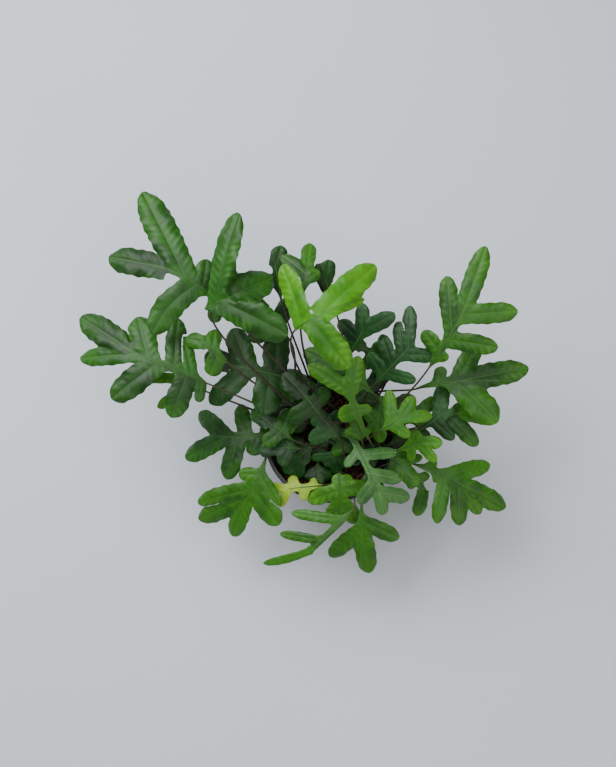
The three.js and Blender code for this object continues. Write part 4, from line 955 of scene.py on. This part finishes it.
def makeSoil():
    draw = np.random.RandomState(7)
    lift = draw.normal(0, 1, (6, 4))
    low = pot["floor"] + soil["clearance"]
    edge = wallRadius(soil["top"]) - pot["wall"] - soil["clearance"]

    def height(x, y):
        total, wave, vary = 0, soil["lumpWave"], soil["lumpSpread"]
        for a, b, c, d in lift:
            total = total + (np.sin(x * (wave + vary * abs(a)) + b * 3)
                             * np.cos(y * (wave + vary * abs(c)) + d * 3))
        rough = draw.normal(0, soil["crumb"], np.shape(x)) * soil["lumps"]
        return soil["top"] - soil["sink"] + soil["lumpHeight"] * soil["lumps"] * total + rough

    profile = [(0, low), (wallRadius(low) - pot["wall"] - soil["clearance"], low)]
    for share in (0.35, 0.7):
        at = low + (soil["top"] - low) * share
        profile.append((wallRadius(at) - pot["wall"] - soil["clearance"], at))
    for k in range(soil["rings"], 0, -1):
        profile.append((edge * k / soil["rings"], soil["top"] - soil["sink"]))
    profile.append((0, soil["top"] - soil["sink"]))
    piece = turnedMesh("soilBody", profile, soil["around"], [soilPaint()])
    places = np.zeros(len(piece.data.vertices) * 3)
    piece.data.vertices.foreach_get("co", places)
    places = places.reshape(-1, 3) / mm
    topmost = places[:, 2] > soil["top"] - soil["topBand"]
    lifted = np.minimum(height(places[topmost, 0], places[topmost, 1]), soil["top"] - 0.1)
    places[topmost, 2] = lifted
    piece.data.vertices.foreach_set("co", (places * mm).ravel())
    ground, count = soil["top"] - chips["sunk"], chips["groundRings"]
    rings = [(edge * k / count - 1, ground) for k in range(1, count + 1)]
    patch = turnedMesh("chipGround", [(0, ground)] + rings + [(0, soil["top"] - chips["under"])],
                       chips["groundSides"], [])
    scattered = applyTree(patch, chipTree(), {
        "Density": chips["density"], "Least": chips["least"] * mm, "Most": chips["most"] * mm,
        "Seed": chips["seed"], "Finish": chipPaint()}, "chipCloud")
    made = joinInto(piece, [scattered], "potting_soil_peat")
    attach(made, "root")
    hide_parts("potting_soil")


makeSoil()
print("soil made")

# Studio: a pale floor, a soft sky and three broad lights
studio = {
    "floorSize": 6.0,
    "sky": ("e6e9ea", 0.36),
    "lights": [
        ("window", (-0.75, 0.75, 1.3), 1.2, 38.0, "fdfdff"),
        ("overhead", (0.2, -0.2, 1.9), 1.4, 13.0, "ffffff"),
        ("front", (0.9, -0.9, 0.9), 0.9, 6.0, "fff4e6"),
    ],
}


def makeStudio():
    paint = Paint("paleFloor", Roughness=0.9)
    mottle = paint.noise(paint.place(), 3, 3)
    paint.feed("Base Color", paint.mix(mottle, colour("c3cad4"), colour("cdd3da")))
    size = studio["floorSize"] / 2
    floor = addMesh("floor", [(-size, -size, 0), (size, -size, 0), (size, size, 0), (-size, size, 0)],
                    [(0, 1, 2, 3)], [paint.material], False)
    world = bpy.data.worlds.new("studioSky")
    bpy.context.scene.world = world
    world.use_nodes = True
    sky = world.node_tree.nodes["Background"]
    sky.inputs[0].default_value, sky.inputs[1].default_value = colour(studio["sky"][0]), studio["sky"][1]
    for name, place, size, power, tint in studio["lights"]:
        data = bpy.data.lights.new(name, "AREA")
        data.size, data.energy, data.color = size, power, colour(tint)[:3]
        lamp = placeObject(name, data)
        lamp.location = place
        lamp.rotation_euler = Vector(place).to_track_quat("Z", "Y").to_euler()


makeStudio()
print("studio made")
